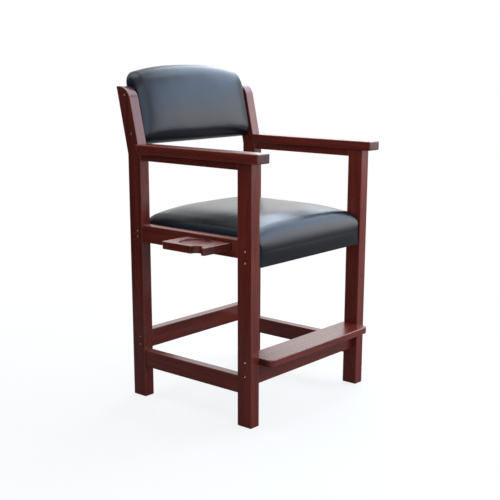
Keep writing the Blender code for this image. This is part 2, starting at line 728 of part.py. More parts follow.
def seat_point(u, v, w):
    """Seat cushion: a crowned top whose sides roll down past the seat board, over a straight front skirt."""
    x = CUSHION_HALF * u
    y = CUSHION_BACK * (v + 1) / 2
    power_x, power_y = SEAT_CROWN_POWERS
    top = SEAT_BOARD_TOP + CUSHION_SEAT_EDGE
    top += CUSHION_SEAT_CROWN * (1 - abs(u) ** power_x) * (1 - abs(v) ** power_y)
    at_corner = math.exp(-((y / CUSHION_CORNER_REACH) ** 2))
    side_round = CUSHION_SIDE_ROUND + (CUSHION_CORNER_ROUND - CUSHION_SIDE_ROUND) * at_corner
    top -= side_round * (1 - round_over(CUSHION_HALF - abs(x), side_round))
    top -= CUSHION_NOSE_FALL * (1 - round_over(y, CUSHION_NOSE_REACH))
    top -= CUSHION_TAIL_ROUND * (1 - round_over(CUSHION_BACK - y, CUSHION_TAIL_ROUND))
    top = max(top, SEAT_BOARD_UNDERSIDE + CUSHION_LEAST_SIDE)
    bottom = FRONT_APRON_UNDERSIDE - CUSHION_SKIRT_BELOW_APRON
    return Vector((x, y, bottom + (w + 1) / 2 * (top - bottom)))


def seat_cushion():
    """The cushion wraps the seat board, and its skirt hangs in front of the front apron."""
    cushion = cushion_cage("seat_cushion", (10, 10, 4), seat_point, VINYL)
    low = (-HALF, FRONT_APRON_SETBACK - JOINT_GAP, FRONT_APRON_UNDERSIDE - CUT_OVERRUN)
    high = (HALF, FRAME_DEPTH + CUT_OVERRUN, SEAT_BOARD_UNDERSIDE)
    cut(cushion, link_cutter(box("seat_frame_room", low, high)), "seat_frame_room")
    room_low = SEAT_BOARD_UNDERSIDE - CUT_OVERRUN
    room_height = SEAT_BOARD_TOP + JOINT_GAP - room_low
    points = seat_board_outline(JOINT_GAP)
    cut(cushion, outline_solid("seat_board_room", points, room_low, room_height, ALONG_Z), "seat_board_room")


def back_top(x, corner=BACK_CORNER):
    """Height up the posts of the back rest's arched top edge, with its corners rounded."""
    share = min(abs(x) / CUSHION_HALF, 1.0)
    into_corner = min(max((abs(x) - CUSHION_HALF + corner) / corner, 0.0), 1.0)
    corner_drop = corner * (1 - math.sqrt(1 - into_corner**2))
    return BACK_TOP - BACK_ARCH * share**BACK_ARCH_POWER - corner_drop


def back_point(u, v, w):
    """Back cushion: a flat rear, straight sides and a crowned front that rolls over at the top and bottom."""
    x = CUSHION_HALF * u
    height = BACK_BOTTOM + (back_top(x) - BACK_BOTTOM) * (v + 1) / 2
    power_x, power_s = BACK_CROWN_POWERS
    front = BACK_PROUD + BACK_CROWN * (1 - abs(u) ** power_x) * (1 - abs(v) ** power_s)
    front -= BACK_SIDE_ROUND * (1 - round_over(CUSHION_HALF - abs(x), BACK_SIDE_ROUND))
    front -= BACK_TOP_ROUND * (1 - round_over(back_top(x) - height, BACK_TOP_ROUND))
    front -= BACK_BOTTOM_ROUND * (1 - round_over(height - BACK_BOTTOM, BACK_BOTTOM_ROUND))
    front = max(front, BACK_PROUD - BACK_DEPTH)
    return Vector((x, height, -BACK_DEPTH + (w + 1) / 2 * (front + BACK_DEPTH)))


def back_board_outline(margin, side_reach):
    """The board's outline in X and up the posts: the cushion's arch, a margin inside its top and bottom."""
    steps = 3 * ARC_STEPS
    turns = [math.pi * i / steps for i in range(steps + 1)]
    low = BACK_BOTTOM + margin
    tops = []
    for turn in turns:
        x = CUSHION_HALF * math.cos(turn)
        tops.append((x, back_top(x, BACK_BOARD_CORNER) - margin))
    ends = [(-side_reach, tops[-1][1]), (-side_reach, low), (side_reach, low), (side_reach, tops[0][1])]
    return tops + ends if side_reach > CUSHION_HALF else tops + ends[1:3]


def back_rest():
    """A board bolted between the posts, the cushion over its front and edges, and a padded rear cover."""
    reach = INNER - JOINT_GAP
    board_low = -BACK_BOARD_SETBACK - BACK_BOARD_THICK
    outline = back_board_outline(BACK_BOARD_MARGIN, reach)
    board = outline_solid("back_board", outline, board_low, BACK_BOARD_THICK, ALONG_BACK, PLYWOOD)
    drill_ends(board, rear_bolt_places()[:2])
    cushion = cushion_cage("back_cushion", (12, 9, 4), back_point, VINYL)
    cushion.matrix_local = ALONG_BACK
    room = outline_solid(
        "back_board_room",
        back_board_outline(BACK_BOARD_MARGIN - JOINT_GAP, HALF),
        -BACK_DEPTH - CUT_OVERRUN,
        BACK_DEPTH + CUT_OVERRUN - BACK_BOARD_SETBACK + JOINT_GAP,
        ALONG_BACK,
    )
    cut(cushion, room, "back_board_room")
    cover = outline_solid(
        "back_cover",
        back_board_outline(BACK_BOARD_MARGIN, CUSHION_HALF),
        -BACK_DEPTH,
        board_low - JOINT_GAP + BACK_DEPTH,
        ALONG_BACK,
        VINYL,
    )
    ease(cover, EDGE_ROUND)


clear_scene()
CHAIR = collection("billiard_spectator_chair")
CUTTERS = collection("cutters", hidden=True)
CARRIER = bpy.data.objects.new("chair_frame", None)
CHAIR.objects.link(CARRIER)
WOOD = material("mahogany_stained_wood", "#4B1D1A", 0.32)
PLYWOOD = material("plywood", "#A9835A", 0.7)
VINYL = material("black_vinyl", "#24262A", 0.38)
BOLT_METAL = material("bronzed_bolt_steel", "#8A6E5C", 0.35, 1.0)

front_legs()
rear_legs()
arms()
seat_frame()
stretchers()
footrest()
tray()
runners()
seat_cushion()
back_rest()
bolts()

# The origin lies under the middle of the outline: tray to left arm across, footrest to back rest deep
back_most = BACK_ORIGIN + LEAN_UP * BACK_TOP - LEAN_FORWARD * BACK_DEPTH
CARRIER.location = (
    -(TRAY_OUTER + HALF + ARM_OVERHANG) / 2,
    -(back_most.y - FOOTREST_NOSE) / 2,
    0.0,
)
for piece in CHAIR.objects:
    if piece.type == "MESH" and not piece.name.endswith("cushion"):
        piece.data.shade_smooth()
        piece.data.set_sharp_from_angle(angle=SMOOTH_ANGLE)
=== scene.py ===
"""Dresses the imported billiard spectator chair: lacquered wood, stretched vinyl, bolts and a plain studio."""

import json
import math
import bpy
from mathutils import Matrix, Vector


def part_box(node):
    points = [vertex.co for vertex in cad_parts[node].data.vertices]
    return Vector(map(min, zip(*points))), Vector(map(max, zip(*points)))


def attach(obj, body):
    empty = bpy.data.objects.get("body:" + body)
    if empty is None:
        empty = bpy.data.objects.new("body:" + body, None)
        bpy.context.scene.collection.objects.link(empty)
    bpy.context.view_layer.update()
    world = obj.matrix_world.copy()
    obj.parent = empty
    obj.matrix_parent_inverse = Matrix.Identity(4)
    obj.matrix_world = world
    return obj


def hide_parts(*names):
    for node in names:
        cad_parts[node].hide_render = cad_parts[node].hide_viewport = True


bl_info = {
    "name": "Billiard Spectator Chair",
    "version": (1, 0, 0),
    "blender": (4, 5, 0),
    "location": "3D View > Sidebar > Chair",
    "description": "Finished surfaces for a spectator chair over its packed frame, and a studio around it",
    "category": "Object",
}

import bpy
import numpy as np
from bpy.props import FloatProperty, FloatVectorProperty, IntProperty, PointerProperty
from bpy.types import Operator, Panel, PropertyGroup
from mathutils import Matrix, Vector
from mathutils.geometry import tessellate_polygon

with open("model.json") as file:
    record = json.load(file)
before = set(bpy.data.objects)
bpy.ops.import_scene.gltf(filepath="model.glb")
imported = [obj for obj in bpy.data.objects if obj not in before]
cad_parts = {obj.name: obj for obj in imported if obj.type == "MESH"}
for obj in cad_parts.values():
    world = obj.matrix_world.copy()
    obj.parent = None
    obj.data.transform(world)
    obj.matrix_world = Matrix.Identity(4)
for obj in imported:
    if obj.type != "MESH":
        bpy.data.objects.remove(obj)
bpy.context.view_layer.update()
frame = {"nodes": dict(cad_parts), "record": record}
BODY_OF = {node: body for body, nodes in frame["record"]["behaviour"]["bodies"].items() for node in nodes}

# The chair's own zero: the middle plane between the legs, and the front face of the front legs
LEG_LOW, LEG_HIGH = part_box("front_leg_right")
FAR_LEG_LOW, FAR_LEG_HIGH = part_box("front_leg_left")
HOME = np.array([(LEG_LOW.x + FAR_LEG_HIGH.x) / 2, LEG_LOW.y, 0.0])
INNER_WIDTH = FAR_LEG_LOW.x - HOME[0]
REAR_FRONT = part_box("rear_leg_right")[0].y - HOME[1]
LEG_DEPTH = LEG_HIGH.y - LEG_LOW.y
ARM_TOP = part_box("arm_board_right")[1].z
SEAT_BOARD_LOW, SEAT_BOARD_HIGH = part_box("seat_board")
SKIRT_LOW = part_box("seat_cushion")[0].z

# Sizes in metres that the frame's boxes don't give
GAP = 0.0003
POST_BEND = 0.852  # height where the rear legs start to lean back
POST_DEPTH = 0.0555
BEND_RADIUS = 0.03
FOOTREST_CORNER = 0.022
APRON_EASE = 0.0025
APRON_CROWN = 0.0022
THIN_EASE = 0.0012  # on cleats, stops and the mouths of cut-outs
HOLE_EASE = 0.001
SLOT_CLEARANCE = 0.0005
TRAY_EASE = 0.0014
TRAY_CORNER = 0.007
TRAY_INNER_CORNER = 0.002
NOTCH_PLACE = 0.036  # from the tray's front edge
CUP_PLACE = (0.0685, 0.100)  # from the tray's outer edge and its front edge
BOLT_RECESS = (0.0051, 0.0057, 0.0004)  # radius, depth and rounding of the rim
CUSHION_CLEARANCE = 0.003  # beside each leg before the vinyl swells
SWOLLEN_CLEARANCE = 0.0012
SEAT_TAIL = 0.012  # the seat ends this far before the rear legs' backs
HEM = 0.0145  # the skirt reaches this far behind the seat's nose
SKIRT_ROOM = 0.03  # nothing hangs below the board from the skirt's back to here
NOSE_FREE = 0.006  # the vinyl may swell down to its hem this near the nose
HEM_HELD = 0.004
BACK_LOW = 0.0025  # the back cushion's lower edge above the arms
BACK_CORNER = 0.034
BACK_BOARD_LOW = 0.0205
BACK_BOARD_CORNER = 0.040
BACK_BOARD_DROP = 0.0207  # from the cushion's arch down to the board's
BACK_BOARD_FRONT = -0.016
BACK_CUSHION_REAR = -0.050
BACK_HELD = -0.030  # behind this the cushion's vinyl is stapled down
REAR_COVER = (-0.0403, -0.0485)  # depth of its front and rear
REAR_COVER_DROP = 0.0200
WORN_RADIUS = 0.008  # only arcs under this are eased edges, which the stain is rubbed off

CORNER_SHARE = 1.15  # an outline's corners are this much rounder than its eased edges
CROWN_RINGS = 8
CUT_AROUND = (32, 96)  # points round a bolt's recess and round a wide one
WIDE_RECESS = 0.02
FLAT_RISE = 0.95  # a recess's rings that face up more than this are rim or floor, and the rest are its wall
END_GRAIN = (0.6, 0.9)  # a face turned this far towards the grain starts to show it, and shows it in full
NOTCH_POINTS = 25
BOLT_CREASE = math.radians(35)
SHRUNK_FIRST = 0.4  # of the most that the vinyl may gain
SWELL_FRAMES = 20
FADE_RINGS = 6
SMOOTHING_PASSES = 24
CLOTH = {
    "quality": 6,
    "mass": 0.4,
    "tension_stiffness": 30.0,
    "compression_stiffness": 30.0,
    "shear_stiffness": 10.0,
    "bending_stiffness": 2.0,
    "use_pressure": True,
    "uniform_pressure_force": 4.0,
    "vertex_group_mass": "held",
}


def linear(hex_colour):
    """A sRGB hex colour as linear red, green, blue and alpha."""
    parts = [int(hex_colour[i : i + 2], 16) / 255 for i in (1, 3, 5)]
    return [c / 12.92 if c <= 0.04045 else ((c + 0.055) / 1.055) ** 2.4 for c in parts] + [1.0]


# Settings

COLOUR = {"subtype": "COLOR", "size": 4, "min": 0.0, "max": 1.0}
LENGTH = {"subtype": "DISTANCE", "unit": "LENGTH"}


class ChairWoodSettings(PropertyGroup):
    stain_deep: FloatVectorProperty(
        name="Deep stain",
        description="Colour where the wood took the stain most",
        default=linear("#5A1C14"), **COLOUR,
    )
    stain_thin: FloatVectorProperty(
        name="Thin stain",
        description="Colour where the wood took the stain least",
        default=linear("#873528"), **COLOUR,
    )
    worn_edge: FloatVectorProperty(
        name="Rubbed edge",
        description="Colour that shows through on the eased edges",
        default=linear("#94503C"), **COLOUR,
    )
    rail_ease: FloatProperty(
        name="Rail easing",
        description="Radius of the eased edges of legs and rails",
        min=0.0005, max=0.006, default=0.0022, **LENGTH,
    )
    board_ease: FloatProperty(
        name="Board easing",
        description="Radius of the eased edges of the arm boards and the footrest",
        min=0.0005, max=0.008, default=0.0035, **LENGTH,
    )
    post_lean: FloatProperty(
        name="Post lean",
        description="Angle of the back posts from upright",
        subtype="ANGLE",
        unit="ROTATION",
        min=0.0,
        max=0.6,
        default=math.radians(12.5),
    )
    post_round: FloatProperty(
        name="Post top radius",
        description="Radius of the rounded front corner at the top of the back posts",
        min=0.005, max=0.06, default=0.055, **LENGTH,
    )


class ChairVinylSettings(PropertyGroup):
    colour: FloatVectorProperty(
        name="Vinyl",
        description="Colour of the vinyl away from its highlights",
        default=linear("#0B0E13"), **COLOUR,
    )
    grain: FloatProperty(
        name="Grain size",
        description="Size of one pebble of the embossed grain",
        min=0.0005, max=0.01, default=0.0024, **LENGTH,
    )
    seat_crown: FloatProperty(
        name="Seat crown",
        description="Rise of the seat's middle over its edges",
        min=0.0, max=0.08, default=0.0345, **LENGTH,
    )
    back_crown: FloatProperty(
        name="Back crown",
        description="How far the middle of the back cushion stands before its edges",
        min=0.0, max=0.04, default=0.0117, **LENGTH,
    )
    swell: FloatProperty(
        name="Swell",
        description="The most that the foam may push the vinyl out",
        min=0.0, max=0.02, default=0.004, **LENGTH,
    )


class ChairStudioSettings(PropertyGroup):
    camera_place: FloatVectorProperty(
        name="Camera",
        description="Place of the camera",
        subtype="TRANSLATION",
        unit="LENGTH",
        size=3,
        default=(-2.63164 + HOME[0], -1.94247 + HOME[1], 1.18343),
    )
    camera_turn: FloatVectorProperty(
        name="Camera angles",
        description="Azimuth, elevation and roll of the camera",
        subtype="EULER",
        unit="ROTATION",
        size=3,
        default=(math.radians(-49.850), math.radians(13.904), math.radians(0.134)),
    )
    focal_share: FloatProperty(
        name="Focal length",
        description="Focal length as a share of the picture's width",
        min=0.5,
        max=5.0,
        default=981.45 / 500,
    )
    key_power: FloatProperty(
        name="Key light",
        description="Power that each soft light has a share of",
        subtype="POWER",
        unit="POWER",
        min=0.0,
        max=1000.0,
        default=26.0,
    )


# Surfaces


def unit(vectors):
    """The same directions with a length of 1."""
    return vectors / np.linalg.norm(vectors, axis=-1, keepdims=True)


def softened(corners, radii, steps=6):
    """Points, outward normals and wear round a flat outline whose corners are arcs.

    Each corner's arc has its centre on the corner's bisector, one radius off both of its edges, and runs
    from one tangent point to the other in equal turns. A corner of radius 0 stays one point. Wear is a half
    sine over each small arc. The outline runs counter-clockwise, and a hole's clockwise.
    """
    corners = np.asarray(corners, float)
    radii = np.broadcast_to(np.asarray(radii, float), len(corners))[:, None]
    back = unit(np.roll(corners, 1, axis=0) - corners)
    ahead = unit(np.roll(corners, -1, axis=0) - corners)
    side = unit(np.stack([ahead[:, 1] - back[:, 1], back[:, 0] - ahead[:, 0]], axis=1))
    half = np.arccos(np.clip((back * ahead).sum(1, keepdims=True), -1, 1)) / 2
    bisector = back + ahead
    straight = np.linalg.norm(bisector, axis=1, keepdims=True) < 1e-6
    bisector = unit(np.where(straight, -side, bisector))
    convex = np.where((bisector * side).sum(1, keepdims=True) < 0, 1.0, -1.0)
    centre = corners + bisector * radii / np.sin(half)
    start = corners + back * radii / np.tan(np.maximum(half, 1e-3)) - centre
    end = corners + ahead * radii / np.tan(np.maximum(half, 1e-3)) - centre
    turn = (math.pi - 2 * half)[:, :, None]
    share = np.linspace(0, 1, steps + 1)[None, :, None]
    spokes = np.sin((1 - share) * turn) * start[:, None] + np.sin(share * turn) * end[:, None]
    spokes /= np.maximum(np.sin(turn), 1e-9)
    normals = convex[:, :, None] * spokes / np.maximum(radii[:, :, None], 1e-9)
    points = centre[:, None] + spokes
    sharp = radii[:, 0] < 1e-9
    points[sharp] = corners[sharp][:, None]
    normals[sharp] = side[sharp][:, None]
    small = (radii[:, :, None] < WORN_RADIUS) & ~sharp[:, None, None]
    wear = np.sin(math.pi * share) * small
    kept = np.ones(points.shape[:2], bool)
    kept[sharp, 1:] = False
    return points[kept], normals[kept], wear[..., 0][kept]


def skin(points, normals, first):
    """Quads over a grid of closed rings, turned so that they face the way of the given normals."""
    index = first + np.arange(points[..., 0].size).reshape(points.shape[:2])
    ahead = np.roll(index, -1, axis=1)
    quads = np.stack([index[:-1], ahead[:-1], ahead[1:], index[1:]], axis=-1).reshape(-1, 4)
    corners = points.reshape(-1, 3)[quads - first]
    facing = np.cross(corners[:, 2] - corners[:, 0], corners[:, 3] - corners[:, 1])
    wanted = normals.reshape(-1, 3)[quads - first].mean(1)
    if (facing * wanted).sum() < 0:
        quads = quads[:, ::-1]
    return quads.tolist()


def cap(rings, up):
    """Triangles of a flat face between its outer ring and the rings of its holes, facing up or down."""
    loops = [[Vector((a, b, 0)) for a, b in ring] for ring, _ in rings]
    index = np.concatenate([numbers for _, numbers in rings])
    flat = np.concatenate([ring for ring, _ in rings])
    corners = np.array(tessellate_polygon(loops))
    a, b, c = (flat[corners[:, i]] for i in range(3))
    area = (b[:, 0] - a[:, 0]) * (c[:, 1] - a[:, 1]) - (b[:, 1] - a[:, 1]) * (c[:, 0] - a[:, 0])
    corners[area < 0] = corners[area < 0][:, ::-1]
    corners = corners[np.abs(area) > 1e-12]
    return index[corners if up else corners[:, ::-1]].tolist()


def with_third(plane, third):
    """A grid of flat coordinates or normals with its third one, given for each ring or for each point."""
    return np.concatenate([plane, np.broadcast_to(third, plane.shape[:2])[..., None]], axis=2)


def eased_walls(outline, low, high, ease, crown, level, turn):
    """Rings of an outline from the lower face to the upper one, with their normals and wear.

    At an angle t from the side towards a face, a ring is the outline drawn in by ease * (1 - cos t), at
    ease * (1 - sin t) inside that face, and level rings lie evenly between the two eased edges. A crown
    lowers the edge that faces +b by crown * u squared, where u runs from -1 to 1 across the thickness.
    """
    points, normals, wear = outline
    between = np.linspace(low + ease, high - ease, level + 2)[1:-1]
    angle = np.concatenate([-turn[::-1], np.zeros(level), turn])
    lower_edge, upper_edge = low + ease * (1 - np.sin(turn[::-1])), high - ease * (1 - np.sin(turn))
    height = np.concatenate([lower_edge, between, upper_edge])[:, None]
    angle = angle[:, None]
    across = (2 * height - low - high) / (high - low)
    upward = np.maximum(normals[:, 1], 0)
    rings = points[None] - (ease * (1 - np.cos(angle)))[..., None] * normals[None]
    rings[..., 1] -= crown * across**2 * upward
    slope = 4 * crown / (high - low) * across * np.cos(angle)
    facing = with_third(np.cos(angle)[..., None] * normals[None], np.sin(angle) + slope * upward)
    return with_third(rings, height), unit(facing), np.maximum(np.sin(2 * np.abs(angle)), wear)


def turned_pit(centre, radius, depth, rim, face, up, turn):
    """Rings of a round recess, a turned profile of rim, wall and floor, with normals and the share of its
    wall, which the wood paints darker as shade.
    """
    floor_round = min(rim, depth / 3)
    back, sign = turn[::-1], 1.0 if up else -1.0
    rise = np.sin(np.concatenate([back, turn]))[:, None]
    inward = np.cos(np.concatenate([back, turn]))
    radii = np.concatenate([radius + rim * (1 - np.cos(back)), radius - floor_round * (1 - np.cos(turn))])
    depths = np.concatenate([rim * (1 - np.sin(back)), depth - floor_round * (1 - np.sin(turn))])
    around = CUT_AROUND[radius > WIDE_RECESS]
    spin = np.linspace(0, -2 * math.pi, around, endpoint=False)
    ring = np.stack([np.cos(spin), np.sin(spin)], axis=1)[None]
    grid = with_third(np.array(centre) + radii[:, None, None] * ring, face - sign * depths[:, None])
    facing = with_third(-inward[:, None, None] * ring, sign * rise)
    # The wall's rings get a share of 1, which the wood paints darker as shade in the recess
    return grid, facing, np.broadcast_to(rise < FLAT_RISE, grid.shape[:2])


def eased_slab(name, loops, low, high, ease, along, pits=(), crown=0.0, steps=4):
    """A flat outline, with any holes through it, given a thickness along X, Y or Z with its edges eased.

    loops are (points, normals, wear) of the outline and of each hole. pits are round recesses
    (centre, radius, depth, rim, on_upper_face). The share "worn" is 1 on the edges, and the share of end grain
    and recess shade is 1 on the walls of the recesses, which the wood paints darker as shade.
    """
    turn = np.linspace(0, math.pi / 2, steps + 1)
    level = CROWN_RINGS if crown else 0
    points, normals, worn, recess_wall_shade, faces = [], [], [], [], []
    rims = {False: [], True: []}

    def add_rings(grid, facing, wear, cut):
        first = sum(len(part) for part in points)
        faces.extend(skin(grid, facing, first))
        points.append(grid.reshape(-1, 3))
        normals.append(facing.reshape(-1, 3))
        worn.append(np.broadcast_to(wear, grid.shape[:2]).ravel())
        recess_wall_shade.append(np.broadcast_to(cut, grid.shape[:2]).ravel())
        index = first + np.arange(grid[..., 0].size).reshape(grid.shape[:2])
        return (grid[0, :, :2], index[0]), (grid[-1, :, :2], index[-1])

    for number, outline in enumerate(loops):
        reach, rise = (min(ease, HOLE_EASE), 0.0) if number else (ease, crown)
        first, last = add_rings(*eased_walls(outline, low, high, reach, rise, level, turn), 0.0)
        rims[False].append(first)
        rims[True].append(last)
    for centre, radius, depth, rim, up in pits:
        # The recess's wall is marked for painted shade
        grid, facing, cut = turned_pit(centre, radius, depth, rim, high if up else low, up, turn)
        mouth, floor = add_rings(grid, facing, 0.0, cut)
        rims[up].append(mouth)
        faces += cap([floor], up)
    faces += cap(rims[False], False) + cap(rims[True], True)
    # Outline a, outline b and thickness in the places of X, Y and Z
    order = {"X": (2, 0, 1), "Y": (1, 2, 0), "Z": (0, 1, 2)}[along]
    shares = {"worn": np.concatenate(worn), "end_grain": np.concatenate(recess_wall_shade)}
    return surface(name, np.concatenate(points)[:, order], faces, np.concatenate(normals)[:, order], shares)


def placed(name, data):
    """A new object in the scene, at its origin."""
    made = bpy.data.objects.new(name, data)
    bpy.context.scene.collection.objects.link(made)
    return made


def write_share(mesh, name, values):
    """A number for each point, which materials read by its name."""
    share = mesh.attributes.get(name) or mesh.attributes.new(name, "FLOAT", "POINT")
    share.data.foreach_set("value", np.asarray(values, np.float32))


def read_array(items, attribute, width=3, kind=np.float32):
    """An attribute of every point or edge as rows of an array."""
    values = np.zeros(len(items) * width, kind)
    items.foreach_get(attribute, values)
    return values.reshape(-1, width)


def surface(name, points, faces, normals=None, shares=None):
    """An object from arrays of points and faces, with its own normals and shares if they are given."""
    mesh = bpy.data.meshes.new(name)
    mesh.from_pydata(points.tolist(), [], faces)
    mesh.update()
    for share, values in (shares or {}).items():
        write_share(mesh, share, values)
    mesh.shade_smooth()
    if normals is not None:
        mesh.normals_split_custom_set_from_vertices(normals.tolist())
    return placed(name, mesh)


def rectangle(low_a, high_a, low_b, high_b):
    return [(low_a, low_b), (high_a, low_b), (high_a, high_b), (low_a, high_b)]


def board_number(name):
    """A steady number from 0 to 1 for each piece of wood, so that no two boards share their figure."""
    golden = 0.6180339887
    return (sum(ord(letter) * (place + 7) for place, letter in enumerate(name)) * golden) % 1.0


def finish_piece(piece, node, finish):
    """Gives a piece its material and its body, and hides the frame node that it stands for."""
    piece.data.materials.append(finish)
    write_share(piece.data, "board", np.full(len(piece.data.vertices), board_number(piece.name)))
    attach(piece, BODY_OF[node])
    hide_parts(node)


def repaint(node, finish):
    """A frame node whose shape is right keeps its mesh and takes a better material."""
    kept = frame["nodes"][node]
    kept.data.materials.clear()
    kept.data.materials.append(finish)


def shaped_piece(context, node, grain, thick, corners, radii, ease, arc_steps=6, holes=(), **more):
    """A piece of lacquered wood in the place of its frame node, sawn to an outline, thick along one axis.

    Its share "end_grain" also grows to 1 where a face turns towards the grain.
    """
    low, high = (corner["XYZ".index(thick)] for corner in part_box(node))
    loops = [softened(corners, radii, arc_steps), *holes]
    made = eased_slab(node + "_finished", loops, low, high, ease, thick, **more)
    mesh = made.data
    along = np.abs(read_array(mesh.vertices, "normal")[:, "XYZ".index(grain)])
    # The share already holds the recess walls, which are painted darker as shade
    recess_wall_shade = read_array(mesh.attributes["end_grain"].data, "value", 1)[:, 0]
    write_share(mesh, "end_grain", np.maximum(recess_wall_shade, np.interp(along, END_GRAIN, (0, 1))))
    finish_piece(made, node, lacquered_wood(context, grain))


def straight_piece(context, node, grain, ease=None, thick=None, **more):
    """A square-sawn piece, thick along its grain unless another axis is given, with its edges eased."""
    low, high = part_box(node)
    thick = thick or grain
    ease = ease or context.scene.chair_wood.rail_ease
    a, b = {"X": (1, 2), "Y": (2, 0), "Z": (0, 1)}[thick]
    corners = rectangle(low[a], high[a], low[b], high[b])
    shaped_piece(context, node, grain, thick, corners, ease * CORNER_SHARE, ease, **more)


# Materials


def add_node(tree, kind, inputs=(), output=0, **settings):
    """Adds a shader node with its properties, and returns one of its outputs.

    Each input takes a value or the output that feeds it. They come by name or number, or listed in order.
    """
    made = tree.nodes.new("ShaderNode" + kind)
    for name, value in settings.items():
        setattr(made, name, value)
    for socket, value in inputs.items() if isinstance(inputs, dict) else enumerate(inputs):
        if isinstance(value, bpy.types.NodeSocket):
            tree.links.new(value, made.inputs[socket])
        else:
            made.inputs[socket].default_value = value
    return made.outputs[output] if made.outputs else None


def new_material(name):
    made = bpy.data.materials.new(name)
    made.use_nodes = True
    made.node_tree.nodes.clear()
    return made, made.node_tree


def lacquered_wood(context, grain):
    """Fine-pored hardwood, sawn and sanded, wiped with a red mahogany stain and sprayed with satin lacquer.

    To the eye that is a deep red-brown with soft streaks along each board, paler where the stain is rubbed
    off the eased edges, darker on end grain and, as painted shade, on the walls of recesses, under a clear
    film that turns pale at a low angle.
    """
    name = "stained_hardwood_grain_" + grain.lower()
    if name in bpy.data.materials:
        return bpy.data.materials[name]
    settings = context.scene.chair_wood
    made, tree = new_material(name)
    place = add_node(tree, "TexCoord", output="Object")
    # The last share is the end grain together with the painted shade on recess walls
    number, worn, ends = (
        add_node(tree, "Attribute", output="Fac", attribute_name=share)
        for share in ("board", "worn", "end_grain")
    )
    shift = add_node(tree, "VectorMath", [number, (3.1, 5.7, 4.3)], operation="MULTIPLY")
    moved = add_node(tree, "VectorMath", [place, shift], operation="ADD")
    # Along the grain every pattern but the cloud is drawn out about sixteen times
    stretch = [0.06 if axis == grain else 1.0 for axis in "XYZ"]
    sawn = add_node(tree, "Mapping", {"Vector": moved, "Scale": stretch})
    # Figure 22 mm wide, growth rings 9 mm apart, streaks 5 mm wide, and pores drawn 1 mm wide, where real
    # ones are 0.3 mm, so that they show
    figure = add_node(
        tree, "TexNoise", {"Vector": sawn, "Scale": 45.0, "Detail": 4.0, "Roughness": 0.6, "Distortion": 0.5}
    )
    rings = add_node(
        tree,
        "TexWave",
        {"Vector": sawn, "Scale": 70.0, "Distortion": 7.0, "Detail": 3.0, "Detail Scale": 0.6},
        output="Fac",
        bands_direction="DIAGONAL",
    )
    streaks = add_node(tree, "TexNoise", {"Vector": sawn, "Scale": 210.0, "Detail": 3.0, "Roughness": 0.65})
    pores = add_node(tree, "TexNoise", {"Vector": sawn, "Scale": 900.0, "Detail": 2.0, "Roughness": 0.6})
    cloud = add_node(tree, "TexNoise", {"Vector": moved, "Scale": 9.0, "Detail": 2.0})
    thin = add_node(tree, "MapRange", [figure, 0.32, 0.68, 0.0, 0.4])
    for pattern, weight in ((rings, 0.13), (streaks, 0.18), (number, 0.14), (cloud, 0.25)):
        thin = add_node(tree, "Math", [pattern, weight, thin], operation="MULTIPLY_ADD")
    thin = add_node(tree, "MapRange", [thin, 0.05, 1.05], interpolation_type="SMOOTHSTEP")
    pored = add_node(tree, "MapRange", [pores, 0.36, 0.5, 0.2, 0.0])
    patchy = add_node(tree, "MapRange", [figure, 0.35, 0.65, 0.15, 0.6])
    rubbed = add_node(tree, "Math", [worn, patchy], operation="MULTIPLY")
    # End grain drinks more stain than the sides of a board. The walls of recesses get the same darker tone as
    # painted shade.
    soaked_and_shaded = add_node(tree, "Math", [ends, 0.7], operation="MULTIPLY")
    colour = settings.stain_deep
    for share, tint in (
        (thin, settings.stain_thin),
        (pored, linear("#2C0D0A")),
        (rubbed, settings.worn_edge),
        (soaked_and_shaded, linear("#33120D")),
    ):
        colour = add_node(tree, "Mix", {0: share, 6: colour, 7: tint}, output=2, data_type="RGBA")
    rough = add_node(tree, "MapRange", [streaks, 0.3, 0.7, 0.26, 0.31])
    ripple = add_node(tree, "Math", [streaks, 0.6, pores], operation="MULTIPLY_ADD")
    relief = add_node(tree, "Bump", {"Height": ripple, "Strength": 0.05, "Distance": 0.0004})
    shader = add_node(
        tree,
        "BsdfPrincipled",
        {
            "Base Color": colour,
            "Roughness": rough,
            "Normal": relief,
            "IOR": 1.5,
            "Specular IOR Level": 0.46,
            "Coat Weight": 0.12,
            "Coat Roughness": 0.12,
            "Coat IOR": 1.5,
        },
    )
    add_node(tree, "OutputMaterial", {"Surface": shader})
    return made


